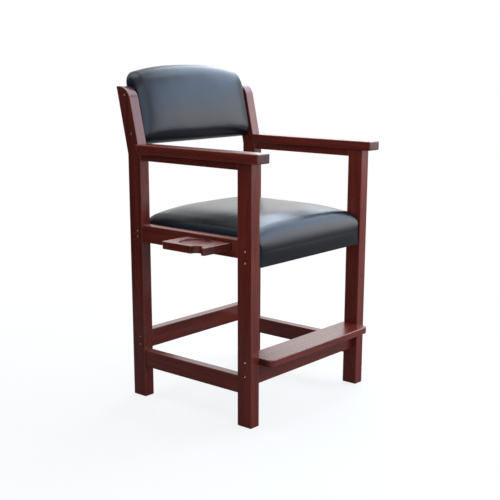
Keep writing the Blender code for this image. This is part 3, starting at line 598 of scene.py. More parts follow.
def stretched_vinyl(context):
    """Black PVC-coated cloth with an embossed pebble grain, stretched over foam.

    To the eye that is a soft, slightly blue sheen that follows the form, broken up by the fine grain, with
    painted shade in the grain's valleys. The blue comes from the lamps and from a blue tint painted into the
    sheen.
    The real grain is about 1 mm, and it is drawn twice as coarse so that it shows.
    """
    name = "black_pebbled_vinyl"
    if name in bpy.data.materials:
        return bpy.data.materials[name]
    settings = context.scene.chair_vinyl
    made, tree = new_material(name)
    place = add_node(tree, "TexCoord", output="Object")
    wander = add_node(tree, "TexNoise", {"Vector": place, "Scale": 160.0, "Detail": 2.0}, output="Color")
    bent = add_node(tree, "VectorMath", [wander, [0.0016] * 3, place], operation="MULTIPLY_ADD")
    pebbles = add_node(
        tree,
        "TexVoronoi",
        {"Vector": bent, "Scale": 1 / settings.grain, "Smoothness": 0.6, "Randomness": 0.9},
        feature="SMOOTH_F1",
    )
    creases = add_node(tree, "TexNoise", {"Vector": place, "Scale": 900.0, "Detail": 3.0, "Roughness": 0.7})
    slack = add_node(tree, "TexNoise", {"Vector": place, "Scale": 11.0, "Detail": 1.0})
    height = add_node(tree, "Math", [creases, 0.3, pebbles], operation="MULTIPLY_ADD")
    grain = add_node(tree, "Bump", {"Height": height, "Strength": 0.16, "Distance": 0.0005}, invert=True)
    relief = add_node(tree, "Bump", {"Height": slack, "Strength": 0.3, "Distance": 0.004, "Normal": grain})
    # Darker in the valleys between the pebbles: painted shade in the grain
    tint = add_node(tree, "MapRange", [pebbles, 0.0, 0.7, 1.15, 0.7])
    colour = add_node(tree, "VectorMath", {0: settings.colour[:3], "Scale": tint}, operation="SCALE")
    rough = add_node(tree, "MapRange", [pebbles, 0.0, 0.7, 0.24, 0.34])
    shader = add_node(
        tree,
        "BsdfPrincipled",
        {
            "Base Color": colour,
            "Roughness": rough,
            "Normal": relief,
            "IOR": 1.5,
            "Specular IOR Level": 0.38,
            # The sheen's faint blue tint is a painted reflection of blue light
            "Specular Tint": linear("#F0F4FF"),
        },
    )
    add_node(tree, "OutputMaterial", {"Surface": shader})
    return made


def bare_plywood():
    """Rotary-cut birch plywood, unfinished: pale veneer with soft wide figure, and plies at the edges."""
    name = "bare_birch_plywood"
    if name in bpy.data.materials:
        return bpy.data.materials[name]
    made, tree = new_material(name)
    place = add_node(tree, "TexCoord", output="Object")
    drawn_out = add_node(tree, "Mapping", {"Vector": place, "Scale": (0.12, 1.0, 1.0)})
    figure = add_node(
        tree, "TexNoise", {"Vector": drawn_out, "Scale": 22.0, "Detail": 5.0, "Distortion": 0.8}
    )
    # Plies 1.5 mm thick
    plies = add_node(tree, "TexWave", {"Vector": place, "Scale": 105.0}, output="Fac", bands_direction="Z")
    edge = add_node(tree, "Math", [plies, 0.25], operation="MULTIPLY")
    colour = linear("#8E6A44")
    for share, tint in ((figure, "#BF9C70"), (edge, "#6B4A2C")):
        colour = add_node(tree, "Mix", {0: share, 6: colour, 7: linear(tint)}, output=2, data_type="RGBA")
    relief = add_node(tree, "Bump", {"Height": figure, "Strength": 0.2, "Distance": 0.0005})
    shader = add_node(tree, "BsdfPrincipled", {"Base Color": colour, "Roughness": 0.72, "Normal": relief})
    add_node(tree, "OutputMaterial", {"Surface": shader})
    return made


def bronzed_steel():
    """Turned steel with a copper-bronze plating, rubbed bright in places by the hex key."""
    made, tree = new_material("bronze_plated_steel")
    place = add_node(tree, "TexCoord", output="Object")
    rub = add_node(tree, "TexNoise", {"Vector": place, "Scale": 500.0, "Detail": 3.0})
    shades = {0: rub, 6: linear("#D2ACA0"), 7: linear("#FBE6DC")}
    colour = add_node(tree, "Mix", shades, output=2, data_type="RGBA")
    rough = add_node(tree, "MapRange", [rub, 0.0, 1.0, 0.36, 0.54])
    shader = add_node(tree, "BsdfPrincipled", {"Base Color": colour, "Metallic": 1.0, "Roughness": rough})
    add_node(tree, "OutputMaterial", {"Surface": shader})
    return made


# Pieces


def bolt_nodes():
    return sorted(node for node in frame["nodes"] if node.startswith("bolt_"))


def recesses_for(leg):
    """Recesses for the heads of a leg's bolts, from the bolts' places in Y and Z, in the leg's outer face."""
    row, _, side = leg.split("_")
    found = []
    for node in bolt_nodes():
        if node.startswith(f"bolt_{row}_") and node.endswith("_" + side):
            low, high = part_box(node)
            centre = ((low.y + high.y) / 2, (low.z + high.z) / 2)
            found.append((centre, *BOLT_RECESS, side == "left"))
    return found


def post_front(settings, height):
    """Y of the post's front face at a height: it leans back from the bend at the post's angle."""
    return HOME[1] + REAR_FRONT + (height - POST_BEND) * math.tan(settings.post_lean)


class CHAIR_OT_legs(Operator):
    """Front legs, and rear legs that lean back above the seat as posts, with recesses for the bolts"""

    bl_idname = "chair.legs"
    bl_label = "Legs"

    def execute(self, context):
        settings = context.scene.chair_wood
        lean, ease = settings.post_lean, settings.rail_ease
        back_rise = (LEG_DEPTH - POST_DEPTH * math.cos(lean)) / math.sin(lean)
        back_bend = POST_BEND - POST_DEPTH * math.sin(lean) + back_rise * math.cos(lean)
        for side in ("right", "left"):
            node = "front_leg_" + side
            straight_piece(context, node, "Z", thick="X", pits=recesses_for(node))
            node = "rear_leg_" + side
            low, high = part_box(node)
            corners = [
                (low.y, 0.0),
                (low.y + LEG_DEPTH, 0.0),
                (low.y + LEG_DEPTH, back_bend),
                (high.y, high.z),
                (post_front(settings, high.z), high.z),
                (low.y, POST_BEND),
            ]
            radii = [ease, ease, BEND_RADIUS, ease, settings.post_round, BEND_RADIUS]
            shaped_piece(context, node, "Z", "X", corners, radii, ease, 12, pits=recesses_for(node))
        return {"FINISHED"}


class CHAIR_OT_arms(Operator):
    """Arm boards cut to the lean of the posts, and the rails under them"""

    bl_idname = "chair.arms"
    bl_label = "Arms"

    def execute(self, context):
        settings = context.scene.chair_wood
        for word in ("board_right", "rail_right", "board_left", "rail_left"):
            node = "arm_" + word
            ease = settings.board_ease if "board" in word else settings.rail_ease
            low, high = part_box(node)
            ends = [max(post_front(settings, z) - GAP, low.y) for z in (low.z, high.z)]
            corners = [(low.y, low.z), (ends[0], low.z), (ends[1], high.z), (low.y, high.z)]
            radii = [ease * CORNER_SHARE] * 4
            if low.z < POST_BEND:
                start = HOME[1] + REAR_FRONT - GAP
                corners[1:2] = [(start, low.z), (start, POST_BEND)]
                radii = [ease, ease, 0.0, ease, ease]
            shaped_piece(context, node, "Y", "X", corners, radii, ease)
        return {"FINISHED"}


class CHAIR_OT_seat_frame(Operator):
    """Aprons round the seat, the right one slotted for the tray, and the cleats that carry the seat board"""

    bl_idname = "chair.seat_frame"
    bl_label = "Seat frame"

    def execute(self, context):
        low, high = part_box("drink_tray")
        gap = SLOT_CLEARANCE
        slot = rectangle(low.y - gap, high.y + gap, low.z - gap, high.z + gap)[::-1]
        holes = {"right": [softened(slot, THIN_EASE)], "left": []}
        for side in ("right", "left"):
            apron = {"thick": "X", "ease": APRON_EASE, "crown": APRON_CROWN, "holes": holes[side]}
            straight_piece(context, "side_apron_" + side, "Y", **apron)
            straight_piece(context, "seat_cleat_" + side, "Y", ease=THIN_EASE)
        for end in ("front", "rear"):
            straight_piece(context, end + "_apron", "X")
        for board in ("seat_board", "back_board"):
            repaint(board, bare_plywood())
        return {"FINISHED"}


class CHAIR_OT_stretchers(Operator):
    """Rails near the floor, and the footrest board with its rounded front corners"""

    bl_idname = "chair.stretchers"
    bl_label = "Stretchers and footrest"

    def execute(self, context):
        for side in ("right", "left"):
            straight_piece(context, "side_stretcher_" + side, "Y")
        for end in ("rear", "front"):
            straight_piece(context, end + "_stretcher", "X")
        low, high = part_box("footrest_board")
        ease = context.scene.chair_wood.board_ease
        radii = [FOOTREST_CORNER] * 2 + [ease * CORNER_SHARE] * 2
        corners = rectangle(low.x, high.x, low.y, high.y)
        shaped_piece(context, "footrest_board", "X", "Z", corners, radii, ease, 10, steps=6)
        return {"FINISHED"}


class CHAIR_OT_tray(Operator):
    """Pull-out tray with a drink recess and a cue notch, its cleat, and the angles that it slides in"""

    bl_idname = "chair.tray"
    bl_label = "Tray"

    cup_radius: FloatProperty(
        name="Recess radius", description="Radius of the drink recess", default=0.0535, **LENGTH
    )
    cup_depth: FloatProperty(
        name="Recess depth", description="Depth of the drink recess", default=0.005, **LENGTH
    )
    notch_radius: FloatProperty(
        name="Notch radius", description="Radius of the cue notch", default=0.022, **LENGTH
    )

    def execute(self, context):
        low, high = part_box("drink_tray")
        radius, notch_y = self.notch_radius, low.y + NOTCH_PLACE
        turns = np.linspace(math.pi / 2, -math.pi / 2, NOTCH_POINTS)
        notch = [(low.x + radius * math.cos(t), notch_y + radius * math.sin(t)) for t in turns]
        corners = [(high.x, low.y), (high.x, high.y), (low.x, high.y), *notch, (low.x, low.y)]
        inner, outer, mouth = TRAY_INNER_CORNER, TRAY_CORNER, THIN_EASE
        radii = [inner, inner, outer, mouth] + [0.0] * (len(notch) - 2) + [mouth, outer]
        cup_centre = (low.x + CUP_PLACE[0], low.y + CUP_PLACE[1])
        cup = (cup_centre, self.cup_radius, self.cup_depth, THIN_EASE, True)
        shaped_piece(context, "drink_tray", "Y", "Z", corners, radii, TRAY_EASE, pits=[cup])
        straight_piece(context, "tray_cleat", "Y", ease=THIN_EASE)
        straight_piece(context, "tray_back_stop", "Y", ease=THIN_EASE)
        for end in ("front", "rear"):
            repaint("tray_runner_" + end, lacquered_wood(context, "X"))
        return {"FINISHED"}


# Rings of a bolt head from the socket's floor out to the rim and round to the back, as radius, depth below
# the leg's face, and how much of a hexagon the ring is
BOLT_RINGS = np.array(
    [
        (0.0019, 0.0022, 1.0),
        (0.0019, 0.0004, 1.0),
        (0.0021, 0.0001, 0.6),
        (0.0030, 0.0003, 0.0),
        (0.0038, 0.0008, 0.0),
        (0.0044, 0.0015, 0.0),
        (0.0047, 0.0025, 0.0),
        (0.0047, 0.0038, 0.0),
        (0.0044, 0.0042, 0.0),
    ]
)


def bolt_head(name, centre, inward, sides):
    """A turned head whose socket's rings are hexagons.

    A hexagon's radius at angle t is its corner radius times cos 30 over cos(t mod 60 - 30).
    """
    radius, depth, hexed = BOLT_RINGS.T[:, :, None]
    spin = np.linspace(0, 2 * math.pi, sides, endpoint=False)
    corner = math.cos(math.pi / 6) / np.cos(np.mod(spin, math.pi / 3) - math.pi / 6)
    spread = radius * (1 - hexed + hexed * corner)
    along = np.broadcast_to(centre[0] + inward * depth, spread.shape)
    grid = np.stack([along, centre[1] + spread * np.cos(spin), centre[2] + spread * np.sin(spin)], axis=-1)
    # The rim's rings face outwards, and the rest turn with them
    facing = np.cross(np.roll(grid, -1, axis=1) - np.roll(grid, 1, axis=1), np.gradient(grid, axis=0))
    if ((grid[6] - grid[4].mean(0)) * facing[6]).sum() < 0:
        facing = -facing
    middles = np.array([(centre[0] + inward * depth[ring, 0], centre[1], centre[2]) for ring in (0, -1)])
    count = radius.size * sides
    around = np.arange(sides)
    ahead = np.roll(around, -1)
    floor = np.stack([np.full(sides, count), around, ahead], axis=1)
    last = count - sides
    back = np.stack([np.full(sides, count + 1), last + ahead, last + around], axis=1)
    if inward > 0:
        floor, back = floor[:, ::-1], back[:, ::-1]
    points = np.concatenate([grid.reshape(-1, 3), middles])
    made = surface(name, points, skin(grid, facing, 0) + floor.tolist() + back.tolist())
    made.data.set_sharp_from_angle(angle=BOLT_CREASE)
    return made


class CHAIR_OT_bolts(Operator):
    """Domed bolt heads with a hex socket, each a little below the face of its leg"""

    bl_idname = "chair.bolts"
    bl_label = "Bolts"

    sides: IntProperty(name="Sides", description="Points round a bolt head", min=12, max=96, default=36)

    def execute(self, context):
        finish = bronzed_steel()
        for node in bolt_nodes():
            low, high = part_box(node)
            face, inward = (low.x, 1.0) if node.endswith("_right") else (high.x, -1.0)
            centre = (face, (low.y + high.y) / 2, (low.z + high.z) / 2)
            finish_piece(bolt_head(node + "_head", centre, inward, self.sides), node, finish)
        return {"FINISHED"}


def block_surface(counts):
    """Points and quads over the six faces of a cube from -1 to 1, with shared edges.

    The first two axes take sines of even steps, so that rows draw together where the form turns fastest.
    """
    grids, quads, total = [], [], 0
    for axis in range(3):
        b, c = (axis + 1) % 3, (axis + 2) % 3
        i, j = np.meshgrid(np.arange(counts[b] + 1), np.arange(counts[c] + 1), indexing="ij")
        for end in (0, counts[axis]):
            grid = np.zeros(i.shape + (3,), int)
            grid[..., axis], grid[..., b], grid[..., c] = end, i, j
            index = total + np.arange(i.size).reshape(i.shape)
            corners = [index[:-1, :-1], index[1:, :-1], index[1:, 1:], index[:-1, 1:]]
            quad = np.stack(corners, axis=-1).reshape(-1, 4)
            quads.append(quad if end else quad[:, ::-1])
            grids.append(grid.reshape(-1, 3))
            total += i.size
    whole, index = np.unique(np.concatenate(grids), axis=0, return_inverse=True)
    places = whole / np.array(counts) * 2 - 1
    places[:, :2] = np.sin(places[:, :2] * math.pi / 2)
    return places, index.reshape(-1)[np.concatenate(quads)]


def rounded(distance, radius, power=2.4):
    """Share of its full height that a rolled edge has at a distance in from its border.

    The roll is a quarter of |a|^p + |b|^p = 1, and above a power of 2 it starts to turn more softly than a
    circle does.
    """
    return (1 - np.clip(1 - distance / radius, 0, 1) ** power) ** (1 / power)


def round_corners(x, y, half_x, half_y, radius):
    """Pulls the corners of a rectangle in to arcs: in each corner square, (a, b) goes to
    (a * sqrt(1 - b * b / 2), b * sqrt(1 - a * a / 2)), which turns the square into a quarter disc."""
    a = (np.abs(x) - (half_x - radius)) / radius
    b = (np.abs(y) - (half_y - radius)) / radius
    inside = (a > 0) & (b > 0)
    a, b = np.where(inside, a, 0), np.where(inside, b, 0)
    new_x = np.sign(x) * (half_x - radius + radius * a * np.sqrt(1 - b * b / 2))
    new_y = np.sign(y) * (half_y - radius + radius * b * np.sqrt(1 - a * a / 2))
    return np.where(inside, new_x, x), np.where(inside, new_y, y)


def seat_form(settings):
    """The seat cushion before it swells, in the chair's own frame.

    Over the plan, the top is a flat level, plus a crown of (1 - |u|^4.1)(1 - |v|^6), less a roll at the
    sides, the tail and the nose. The side's roll is 44 mm wide and shrinks to 9 mm at the front corners.
    The nose's is 40 mm deep and falls by 60 mm, and runs out in a straight skirt.
    """
    corner, level = 0.012, 0.0209
    side_roll, front_side_roll, tail_roll = 0.044, 0.009, 0.046
    nose_depth, nose_fall = 0.040, 0.060
    thinnest = 0.004
    half = INNER_WIDTH - CUSHION_CLEARANCE
    depth = REAR_FRONT + LEG_DEPTH - SEAT_TAIL
    places, quads = block_surface((72, 70, 18))
    x, y = round_corners(places[:, 0] * half, places[:, 1] * depth / 2, half, depth / 2, corner)
    y = y + depth / 2
    u, v = x / half, 2 * y / depth - 1
    top = SEAT_BOARD_HIGH.z + level + settings.seat_crown * (1 - np.abs(u) ** 4.1) * (1 - np.abs(v) ** 6.0)
    roll = side_roll - (side_roll - front_side_roll) * np.exp(-((y / nose_depth) ** 2))
    top -= roll * (1 - rounded(half - np.abs(x), roll))
    top -= nose_fall * (1 - rounded(y, nose_depth, 2.0))
    top -= tail_roll * (1 - rounded(depth - y, tail_roll))
    top = np.where(y < HEM, top, np.maximum(top, SEAT_BOARD_LOW.z + thinnest))
    bottom = np.where(y < HEM, SKIRT_LOW, SEAT_BOARD_LOW.z + GAP)
    z = bottom + (places[:, 2] + 1) / 2 * (top - bottom)
    return np.stack([x, y, z], axis=1) + HOME, quads


def back_matrix(settings):
    """Rows that turn X, height up the posts and depth in front of them into X, Y and Z, and their zero."""
    lean = settings.post_lean
    zero = np.array([0.0, REAR_FRONT + (ARM_TOP - POST_BEND) * math.tan(lean), ARM_TOP]) + HOME
    rows = np.array([[1, 0, 0], [0, math.sin(lean), math.cos(lean)], [0, -math.cos(lean), math.sin(lean)]])
    return rows, zero


def back_top(x, half, corner):
    """Height of the back rest's top edge: an arch that falls by a power of the distance from the middle,
    and then a quarter circle at each corner."""
    crest, fall = 0.2741, 0.0282
    into = np.clip((np.abs(x) - half + corner) / corner, 0, 1)
    return crest - fall * (np.abs(x) / half) ** 2.51 - corner * (1 - np.sqrt(1 - into**2))


def back_pad(counts, reach, low, corner, drop, faces):
    """A pad between the posts as X, height and depth: a block under the arch of the back rest.

    faces gives its rear and its front from the block's own places and each point's distance in from the
    sides, from the top and from the bottom.
    """
    places, quads = block_surface(counts)
    x = places[:, 0] * reach
    top = back_top(x, INNER_WIDTH - CUSHION_CLEARANCE, corner) - drop
    height = low + (top - low) * (places[:, 1] + 1) / 2
    rear, front = faces(places, reach - np.abs(x), top - height, height - low)
    depth = rear + (places[:, 2] + 1) / 2 * (front - rear)
    return np.stack([x, height, depth], axis=1), quads


def back_form(settings):
    """The back cushion before it swells.

    Its rear is flat. Its front is flat, plus a crown of (1 - |u|^4.62)(1 - |v|^1.95), less a roll at the
    sides, the bottom and, widest, the top.
    """
    level, thinnest = 0.0015, 0.002
    side_roll, side_fall = 0.032, 0.0110
    top_roll, top_fall = 0.056, 0.0487
    low_roll, low_fall = 0.042, 0.036

    def faces(places, from_side, from_top, from_low):
        u, v = np.abs(places[:, 0]), np.abs(places[:, 1])
        front = level + settings.back_crown * (1 - u**4.62) * (1 - v**1.95)
        front -= side_fall * (1 - rounded(from_side, side_roll, 2.0))
        front -= top_fall * (1 - rounded(from_top, top_roll))
        front -= low_fall * (1 - rounded(from_low, low_roll))
        return BACK_CUSHION_REAR, np.maximum(front, BACK_CUSHION_REAR + thinnest)

    return back_pad((74, 36, 10), INNER_WIDTH - CUSHION_CLEARANCE, BACK_LOW, BACK_CORNER, 0.0, faces)


def rear_cover_form():
    """A thin pad behind the board: its outline is the board's arch, and its rear swells in the middle."""
    inset, swell_out, edge_roll = 0.001, 0.003, 0.005

    def faces(places, from_side, from_top, from_low):
        crown = swell_out * (1 - places[:, 0] ** 4) * (1 - places[:, 1] ** 4)
        edge = np.minimum(np.minimum(from_side, from_top), from_low)
        return REAR_COVER[1] - crown + edge_roll * (1 - rounded(edge, edge_roll)), REAR_COVER[0]

    reach = INNER_WIDTH - CUSHION_CLEARANCE - inset
    return back_pad((60, 28, 4), reach, BACK_BOARD_LOW + inset, BACK_BOARD_CORNER, REAR_COVER_DROP, faces)


def swell(piece, held, most):
    """Lets air pressure inside stretch the vinyl, as foam does, with the held points kept where they are.

    The form first shrinks along its normals by part of what it may gain, fading out towards the held
    points. Of each point's move only the part along its normal counts, from 0 up to most, because foam
    pushes and never pulls. The moves are then averaged with those of their neighbours many times over,
    which takes creases out.
    """
    normals = read_array(piece.data.vertices, "normal")
    free = fade_from(piece, held, FADE_RINGS)
    write_points(piece, read_points(piece) - SHRUNK_FIRST * most * free[:, None] * normals)
    group = piece.vertex_groups.new(name="held")
    group.add(np.flatnonzero(held).tolist(), 1.0, "REPLACE")
    cloth = piece.modifiers.new("stretched_cover", "CLOTH")
    for name, value in CLOTH.items():
        setattr(cloth.settings, name, value)
    cloth.settings.effector_weights.gravity = 0.0
    cloth.point_cache.frame_start = 1
    cloth.point_cache.frame_end = SWELL_FRAMES
    start = read_array(piece.data.vertices, "co")
    for number in range(1, SWELL_FRAMES + 1):
        bpy.context.scene.frame_set(number)
    evaluated = piece.evaluated_get(bpy.context.evaluated_depsgraph_get())
    moved = read_array(evaluated.data.vertices, "co")
    piece.modifiers.remove(cloth)
    piece.vertex_groups.remove(group)
    step = ((moved - start) * normals).sum(1, keepdims=True).clip(0, most) * normals
    a, b = edge_ends(piece)
    around = np.bincount(np.concatenate([a, b]))[:, None]
    for _ in range(SMOOTHING_PASSES):
        total = np.zeros_like(step)
        np.add.at(total, a, step[b])
        np.add.at(total, b, step[a])
        step = np.where(held[:, None], 0, (step + total / around) / 2)
    write_points(piece, start + step)
    bpy.context.scene.frame_set(1)


def edge_ends(piece):
    """The two point numbers of every edge."""
    return read_array(piece.data.edges, "vertices", 2, np.int32).T


def fade_from(piece, held, rings):
    """A share for each point that grows evenly from 0 at the held points to 1 some rings of edges away."""
    a, b = edge_ends(piece)
    distance = np.where(held, 0.0, float(rings))
    for _ in range(rings):
        nearer = distance.copy()
        np.minimum.at(nearer, a, distance[b] + 1)
        np.minimum.at(nearer, b, distance[a] + 1)
        distance = nearer
    return distance / rings


def smoothed(piece):
    """One level of subdivision, applied."""
    modifier = piece.modifiers.new("fine", "SUBSURF")
    modifier.levels = modifier.render_levels = 1
    bpy.context.view_layer.update()
    fine = bpy.data.meshes.new_from_object(piece.evaluated_get(bpy.context.evaluated_depsgraph_get()))
    old = piece.data
    piece.modifiers.clear()
    piece.data = fine
    bpy.data.meshes.remove(old)
    fine.name = piece.name
    fine.shade_smooth()


def read_points(piece):
    return read_array(piece.data.vertices, "co").astype(float)


def write_points(piece, points):
    piece.data.vertices.foreach_set("co", points.astype(np.float32).reshape(-1))
    piece.data.update()


def over_seat_board(own):
    """Whether points lie over the seat board, a rectangle with rounded corners and a little room round it."""
    room, corner = 0.0012, 0.04
    half = (SEAT_BOARD_HIGH.x - SEAT_BOARD_LOW.x) / 2 + room
    low, high = SEAT_BOARD_LOW.y - HOME[1] - room, SEAT_BOARD_HIGH.y - HOME[1] + room
    x, y = np.abs(own[:, 0]), np.abs(own[:, 1] - (low + high) / 2)
    reach = (high - low) / 2
    a = np.maximum(x - (half - corner), 0)
    b = np.maximum(y - (reach - corner), 0)
    return (x < half) & (y < reach) & (a * a + b * b < corner * corner)


def between_legs(points):
    """Keeps points a little clear of the legs or posts on both sides."""
    reach = INNER_WIDTH - SWOLLEN_CLEARANCE
    points[:, 0] = np.clip(points[:, 0], -reach, reach)


class CHAIR_OT_seat_cushion(Operator):
    """Crowned seat cushion that wraps its board, with a skirt over the front apron"""

    bl_idname = "chair.seat_cushion"
    bl_label = "Seat cushion"

    def execute(self, context):
        settings = context.scene.chair_vinyl
        points, quads = seat_form(settings)
        made = surface("seat_cushion_cover", points, quads.tolist())
        own = points - HOME
        held = (own[:, 2] < SEAT_BOARD_HIGH.z) & (own[:, 1] > NOSE_FREE)
        held |= own[:, 2] < SKIRT_LOW + HEM_HELD
        swell(made, held, settings.swell)
        smoothed(made)
        own = read_points(made) - HOME
        # Stays off the board below, the apron behind the skirt, and the legs beside it
        board_top, under = SEAT_BOARD_HIGH.z + GAP, SEAT_BOARD_LOW.z + GAP
        own[:, 2] = np.where(over_seat_board(own) & (own[:, 2] < board_top), board_top, own[:, 2])
        behind = (own[:, 2] < under) & (own[:, 1] > HEM) & (own[:, 1] < SKIRT_ROOM)
        own[:, 1] = np.where(behind, HEM, own[:, 1])
        between_legs(own)
        write_points(made, own + HOME)
        finish_piece(made, "seat_cushion", stretched_vinyl(context))
        return {"FINISHED"}


class CHAIR_OT_back_rest(Operator):
    """Back cushion between the posts, rolled over at its arched top, and the padded cover behind it"""

    bl_idname = "chair.back_rest"
    bl_label = "Back rest"

    def execute(self, context):
        settings = context.scene.chair_vinyl
        rows, zero = back_matrix(context.scene.chair_wood)
        half = INNER_WIDTH - CUSHION_CLEARANCE
        form, quads = back_form(settings)
        made = surface("back_cushion_cover", form @ rows + zero, quads.tolist())
        swell(made, form[:, 2] < BACK_HELD, settings.swell)
        smoothed(made)
        form = (read_points(made) - zero) @ rows.T
        # Stays in front of the board and round its edges
        board_top = back_top(form[:, 0], half, BACK_BOARD_CORNER) - BACK_BOARD_DROP
        before = (form[:, 1] > BACK_BOARD_LOW) & (form[:, 1] < board_top)
        front = BACK_BOARD_FRONT + GAP
        form[:, 2] = np.where(before & (form[:, 2] < front), front, form[:, 2])
        between_legs(form)
        write_points(made, form @ rows + zero)
        finish_piece(made, "back_cushion", stretched_vinyl(context))
        cover, quads = rear_cover_form()
        made = surface("back_rest_rear_cover", cover @ rows + zero, quads.tolist())
        smoothed(made)
        finish_piece(made, "back_cover", stretched_vinyl(context))
        return {"FINISHED"}


# Stage

# Soft lights: place, size, share of the key power, and colour. The key and the dusk light stand where the
# front faces and the seat's nose mirror them, the sky light where the leaning back does, and the glare and
# side lights where the seat's top and the ledges do. The other two lift the shadows.
SOFTBOXES = {
    "key_softbox": ((2.24, -1.75, 1.24), (2.0, 1.05), 0.78, (0.97, 0.97, 1.0)),
    "dusk_softbox": ((2.22, -1.6, 2.16), (2.0, 0.85), 0.86, (0.48, 0.70, 1.0)),
    "sky_softbox": ((2.14, 0.19, 2.70), (2.6, 1.6), 2.5, (0.64, 0.80, 1.0)),
    "glare_softbox": ((2.34, 1.19, 2.11), (1.4, 1.35), 0.45, (0.92, 0.96, 1.0)),
    "side_softbox": ((2.2, 1.5, 1.6), (2.4, 1.5), 0.26, (1.0, 1.0, 1.0)),
    "top_softbox": ((-0.5, 0.6, 3.1), (1.5, 2.4), 1.1, (0.85, 0.92, 1.0)),
    "fill_softbox": ((-0.7, -2.7, 1.75), (3.2, 2.2), 1.7, (0.5, 0.74, 1.0)),
}
# Upright cards on the sitter's right that the glossy sides mirror: lower and upper edge, and two shades
CARDS = {
    "black_card": (0.0, 1.25, "#0A0A0B", "#161617"),
    "slate_card": (1.25, 2.7, "#7388A0", "#7F95AE"),
}
CARD_SIDE = -1.3
CARD_FRONT, CARD_REAR = 0.15, 2.4
FLOOR_REACH = 12.0
FLOOR_LEVEL = -0.0003
TARGET_HEIGHT = 0.65
SENSOR_WIDTH = 36.0
CAMERA_SHIFT = 0.1  # the photo's centre of view lies a tenth of its width below its middle


def soft_light(name, target, power, place, size, share, colour):
    """A large flat light turned towards a point."""
    data = bpy.data.lights.new(name, "AREA")
    data.shape = "RECTANGLE"
    data.size, data.size_y = size
    data.energy = share * power
    data.color = colour
    made = placed(name, data)
    made.location = place
    made.rotation_euler = (Vector(target) - Vector(place)).to_track_quat("-Z", "Y").to_euler()


def stage_sheet(name, corners, finish):
    """One flat sheet of the studio, which isn't part of the chair."""
    mesh = bpy.data.meshes.new(name)
    mesh.from_pydata(corners, [], [(0, 1, 2, 3)])
    mesh.materials.append(finish)
    made = placed(name, mesh)
    return made


def card_felt(name, dark, pale):
    """Matt felt with a fine nap, a plain tone that a glossy surface mirrors."""
    felt, tree = new_material(name)
    place = add_node(tree, "TexCoord", output="Object")
    nap = add_node(tree, "TexNoise", {"Vector": place, "Scale": 300.0})
    tone = add_node(tree, "Mix", {0: nap, 6: linear(dark), 7: linear(pale)}, output=2, data_type="RGBA")
    matt = add_node(tree, "BsdfDiffuse", {"Color": tone})
    add_node(tree, "OutputMaterial", {"Surface": matt})
    return felt


def floor_vinyl():
    """Matt pale vinyl sheet. The camera sees it white, with a share of the shadows near the chair."""
    made, tree = new_material("matt_white_floor")
    place = add_node(tree, "TexCoord", output="Object")
    grain = add_node(tree, "TexNoise", {"Vector": place, "Scale": 40.0, "Detail": 3.0})
    seen = add_node(tree, "LightPath", output="Is Camera Ray")
    shades = {0: grain, 6: linear("#F4F4F4"), 7: linear("#FAFAFA")}
    white = add_node(tree, "Mix", shades, output=2, data_type="RGBA")
    tone = add_node(tree, "Mix", {0: seen, 6: linear("#7F7B7A"), 7: white}, output=2, data_type="RGBA")
    matt = add_node(tree, "BsdfDiffuse", {"Color": tone})
    glow = add_node(tree, "Emission", {"Color": (1, 1, 1, 1), "Strength": 1.0})
    distance = add_node(tree, "VectorMath", [place], output="Value", operation="LENGTH")
    ramps = [
        add_node(tree, "MapRange", [distance, *ramp], interpolation_type="SMOOTHSTEP")
        for ramp in ((0.8, 3.0, 0.0, 0.22), (0.5, 2.2, 0.8, 1.0))
    ]
    share = add_node(tree, "Mix", {0: seen, 2: ramps[0], 3: ramps[1]})
    mixed = add_node(tree, "MixShader", [share, matt, glow])
    add_node(tree, "OutputMaterial", {"Surface": mixed})
    return made


def white_world(scene):
    """Surroundings that are white to the camera and in reflections, and dimmer as a light."""
    scene.world = bpy.data.worlds.new("white_studio")
    scene.world.use_nodes = True
    tree = scene.world.node_tree
    tree.nodes.clear()
    seen = add_node(tree, "LightPath", output="Is Camera Ray")
    for ray in ("Is Glossy Ray", "Is Transmission Ray"):
        other = add_node(tree, "LightPath", output=ray)
        seen = add_node(tree, "Math", [seen, other], operation="MAXIMUM")
    strength = add_node(tree, "MapRange", [seen, 0.0, 1.0, 0.45, 1.0])
    white = add_node(tree, "Background", {"Color": (1, 1, 1, 1), "Strength": strength})
    add_node(tree, "OutputWorld", {"Surface": white})


def studio_camera(scene, settings):
    """The camera faces +Y, rolled, then tilted down by its elevation, then turned by its azimuth."""
    azimuth, elevation, roll = settings.camera_turn
    data = bpy.data.cameras.new("studio_camera")
    data.sensor_width = SENSOR_WIDTH
    data.lens = settings.focal_share * SENSOR_WIDTH
    data.shift_y = CAMERA_SHIFT
    turn = Matrix.Rotation(azimuth, 4, "Z") @ Matrix.Rotation(math.pi / 2 - elevation, 4, "X")
    turn = turn @ Matrix.Rotation(roll, 4, "Z")
    scene.camera = placed("studio_camera", data)
    scene.camera.matrix_world = Matrix.Translation(settings.camera_place) @ turn


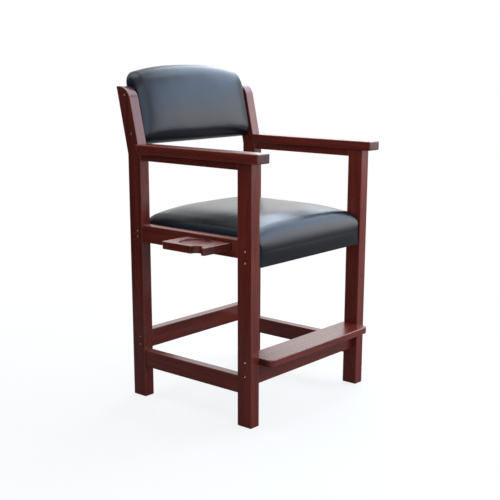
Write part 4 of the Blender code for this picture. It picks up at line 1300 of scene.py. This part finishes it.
class CHAIR_OT_stage(Operator):
    """Plain pale floor, soft lights, white surroundings, and the camera"""

    bl_idname = "chair.stage"
    bl_label = "Studio"

    def execute(self, context):
        scene, settings = context.scene, context.scene.chair_studio
        scene.view_settings.view_transform = "Standard"
        corners = rectangle(-FLOOR_REACH, FLOOR_REACH, -FLOOR_REACH, FLOOR_REACH)
        stage_sheet("studio_floor", [(x, y, FLOOR_LEVEL) for x, y in corners], floor_vinyl())
        white_world(scene)
        target = (HOME[0], 0.0, TARGET_HEIGHT)
        for name, light in SOFTBOXES.items():
            soft_light(name, target, settings.key_power, *light)
        for name, (low, high, dark, pale) in CARDS.items():
            corners = rectangle(CARD_FRONT, CARD_REAR, low, high)
            felt = card_felt(name + "_felt", dark, pale)
            card = stage_sheet(name, [(CARD_SIDE, y, z) for y, z in corners], felt)
            card.visible_camera = False
        studio_camera(scene, settings)
        return {"FINISHED"}


class CHAIR_PT_sidebar(Panel):
    """The chair's pieces and its studio"""

    bl_idname = "CHAIR_PT_sidebar"
    bl_label = "Spectator Chair"
    bl_space_type = "VIEW_3D"
    bl_region_type = "UI"
    bl_category = "Chair"

    def draw(self, context):
        layout = self.layout
        for operator in OPERATORS:
            layout.operator(operator.bl_idname)
        for group in (context.scene.chair_wood, context.scene.chair_vinyl, context.scene.chair_studio):
            for name in group.__annotations__:
                layout.prop(group, name)


OPERATORS = (
    CHAIR_OT_legs,
    CHAIR_OT_arms,
    CHAIR_OT_seat_frame,
    CHAIR_OT_stretchers,
    CHAIR_OT_tray,
    CHAIR_OT_bolts,
    CHAIR_OT_seat_cushion,
    CHAIR_OT_back_rest,
    CHAIR_OT_stage,
)
CLASSES = (ChairWoodSettings, ChairVinylSettings, ChairStudioSettings, *OPERATORS, CHAIR_PT_sidebar)


def register():
    for kind in CLASSES:
        bpy.utils.register_class(kind)
    bpy.types.Scene.chair_wood = PointerProperty(type=ChairWoodSettings)
    bpy.types.Scene.chair_vinyl = PointerProperty(type=ChairVinylSettings)
    bpy.types.Scene.chair_studio = PointerProperty(type=ChairStudioSettings)


def unregister():
    del bpy.types.Scene.chair_studio
    del bpy.types.Scene.chair_vinyl
    del bpy.types.Scene.chair_wood
    for kind in reversed(CLASSES):
        bpy.utils.unregister_class(kind)


def main():
    register()
    bpy.ops.chair.legs()
    bpy.ops.chair.arms()
    bpy.ops.chair.seat_frame()
    bpy.ops.chair.stretchers()
    bpy.ops.chair.tray()
    bpy.ops.chair.bolts()
    bpy.ops.chair.seat_cushion()
    bpy.ops.chair.back_rest()
    bpy.ops.chair.stage()


if __name__ == "__main__":
    main()
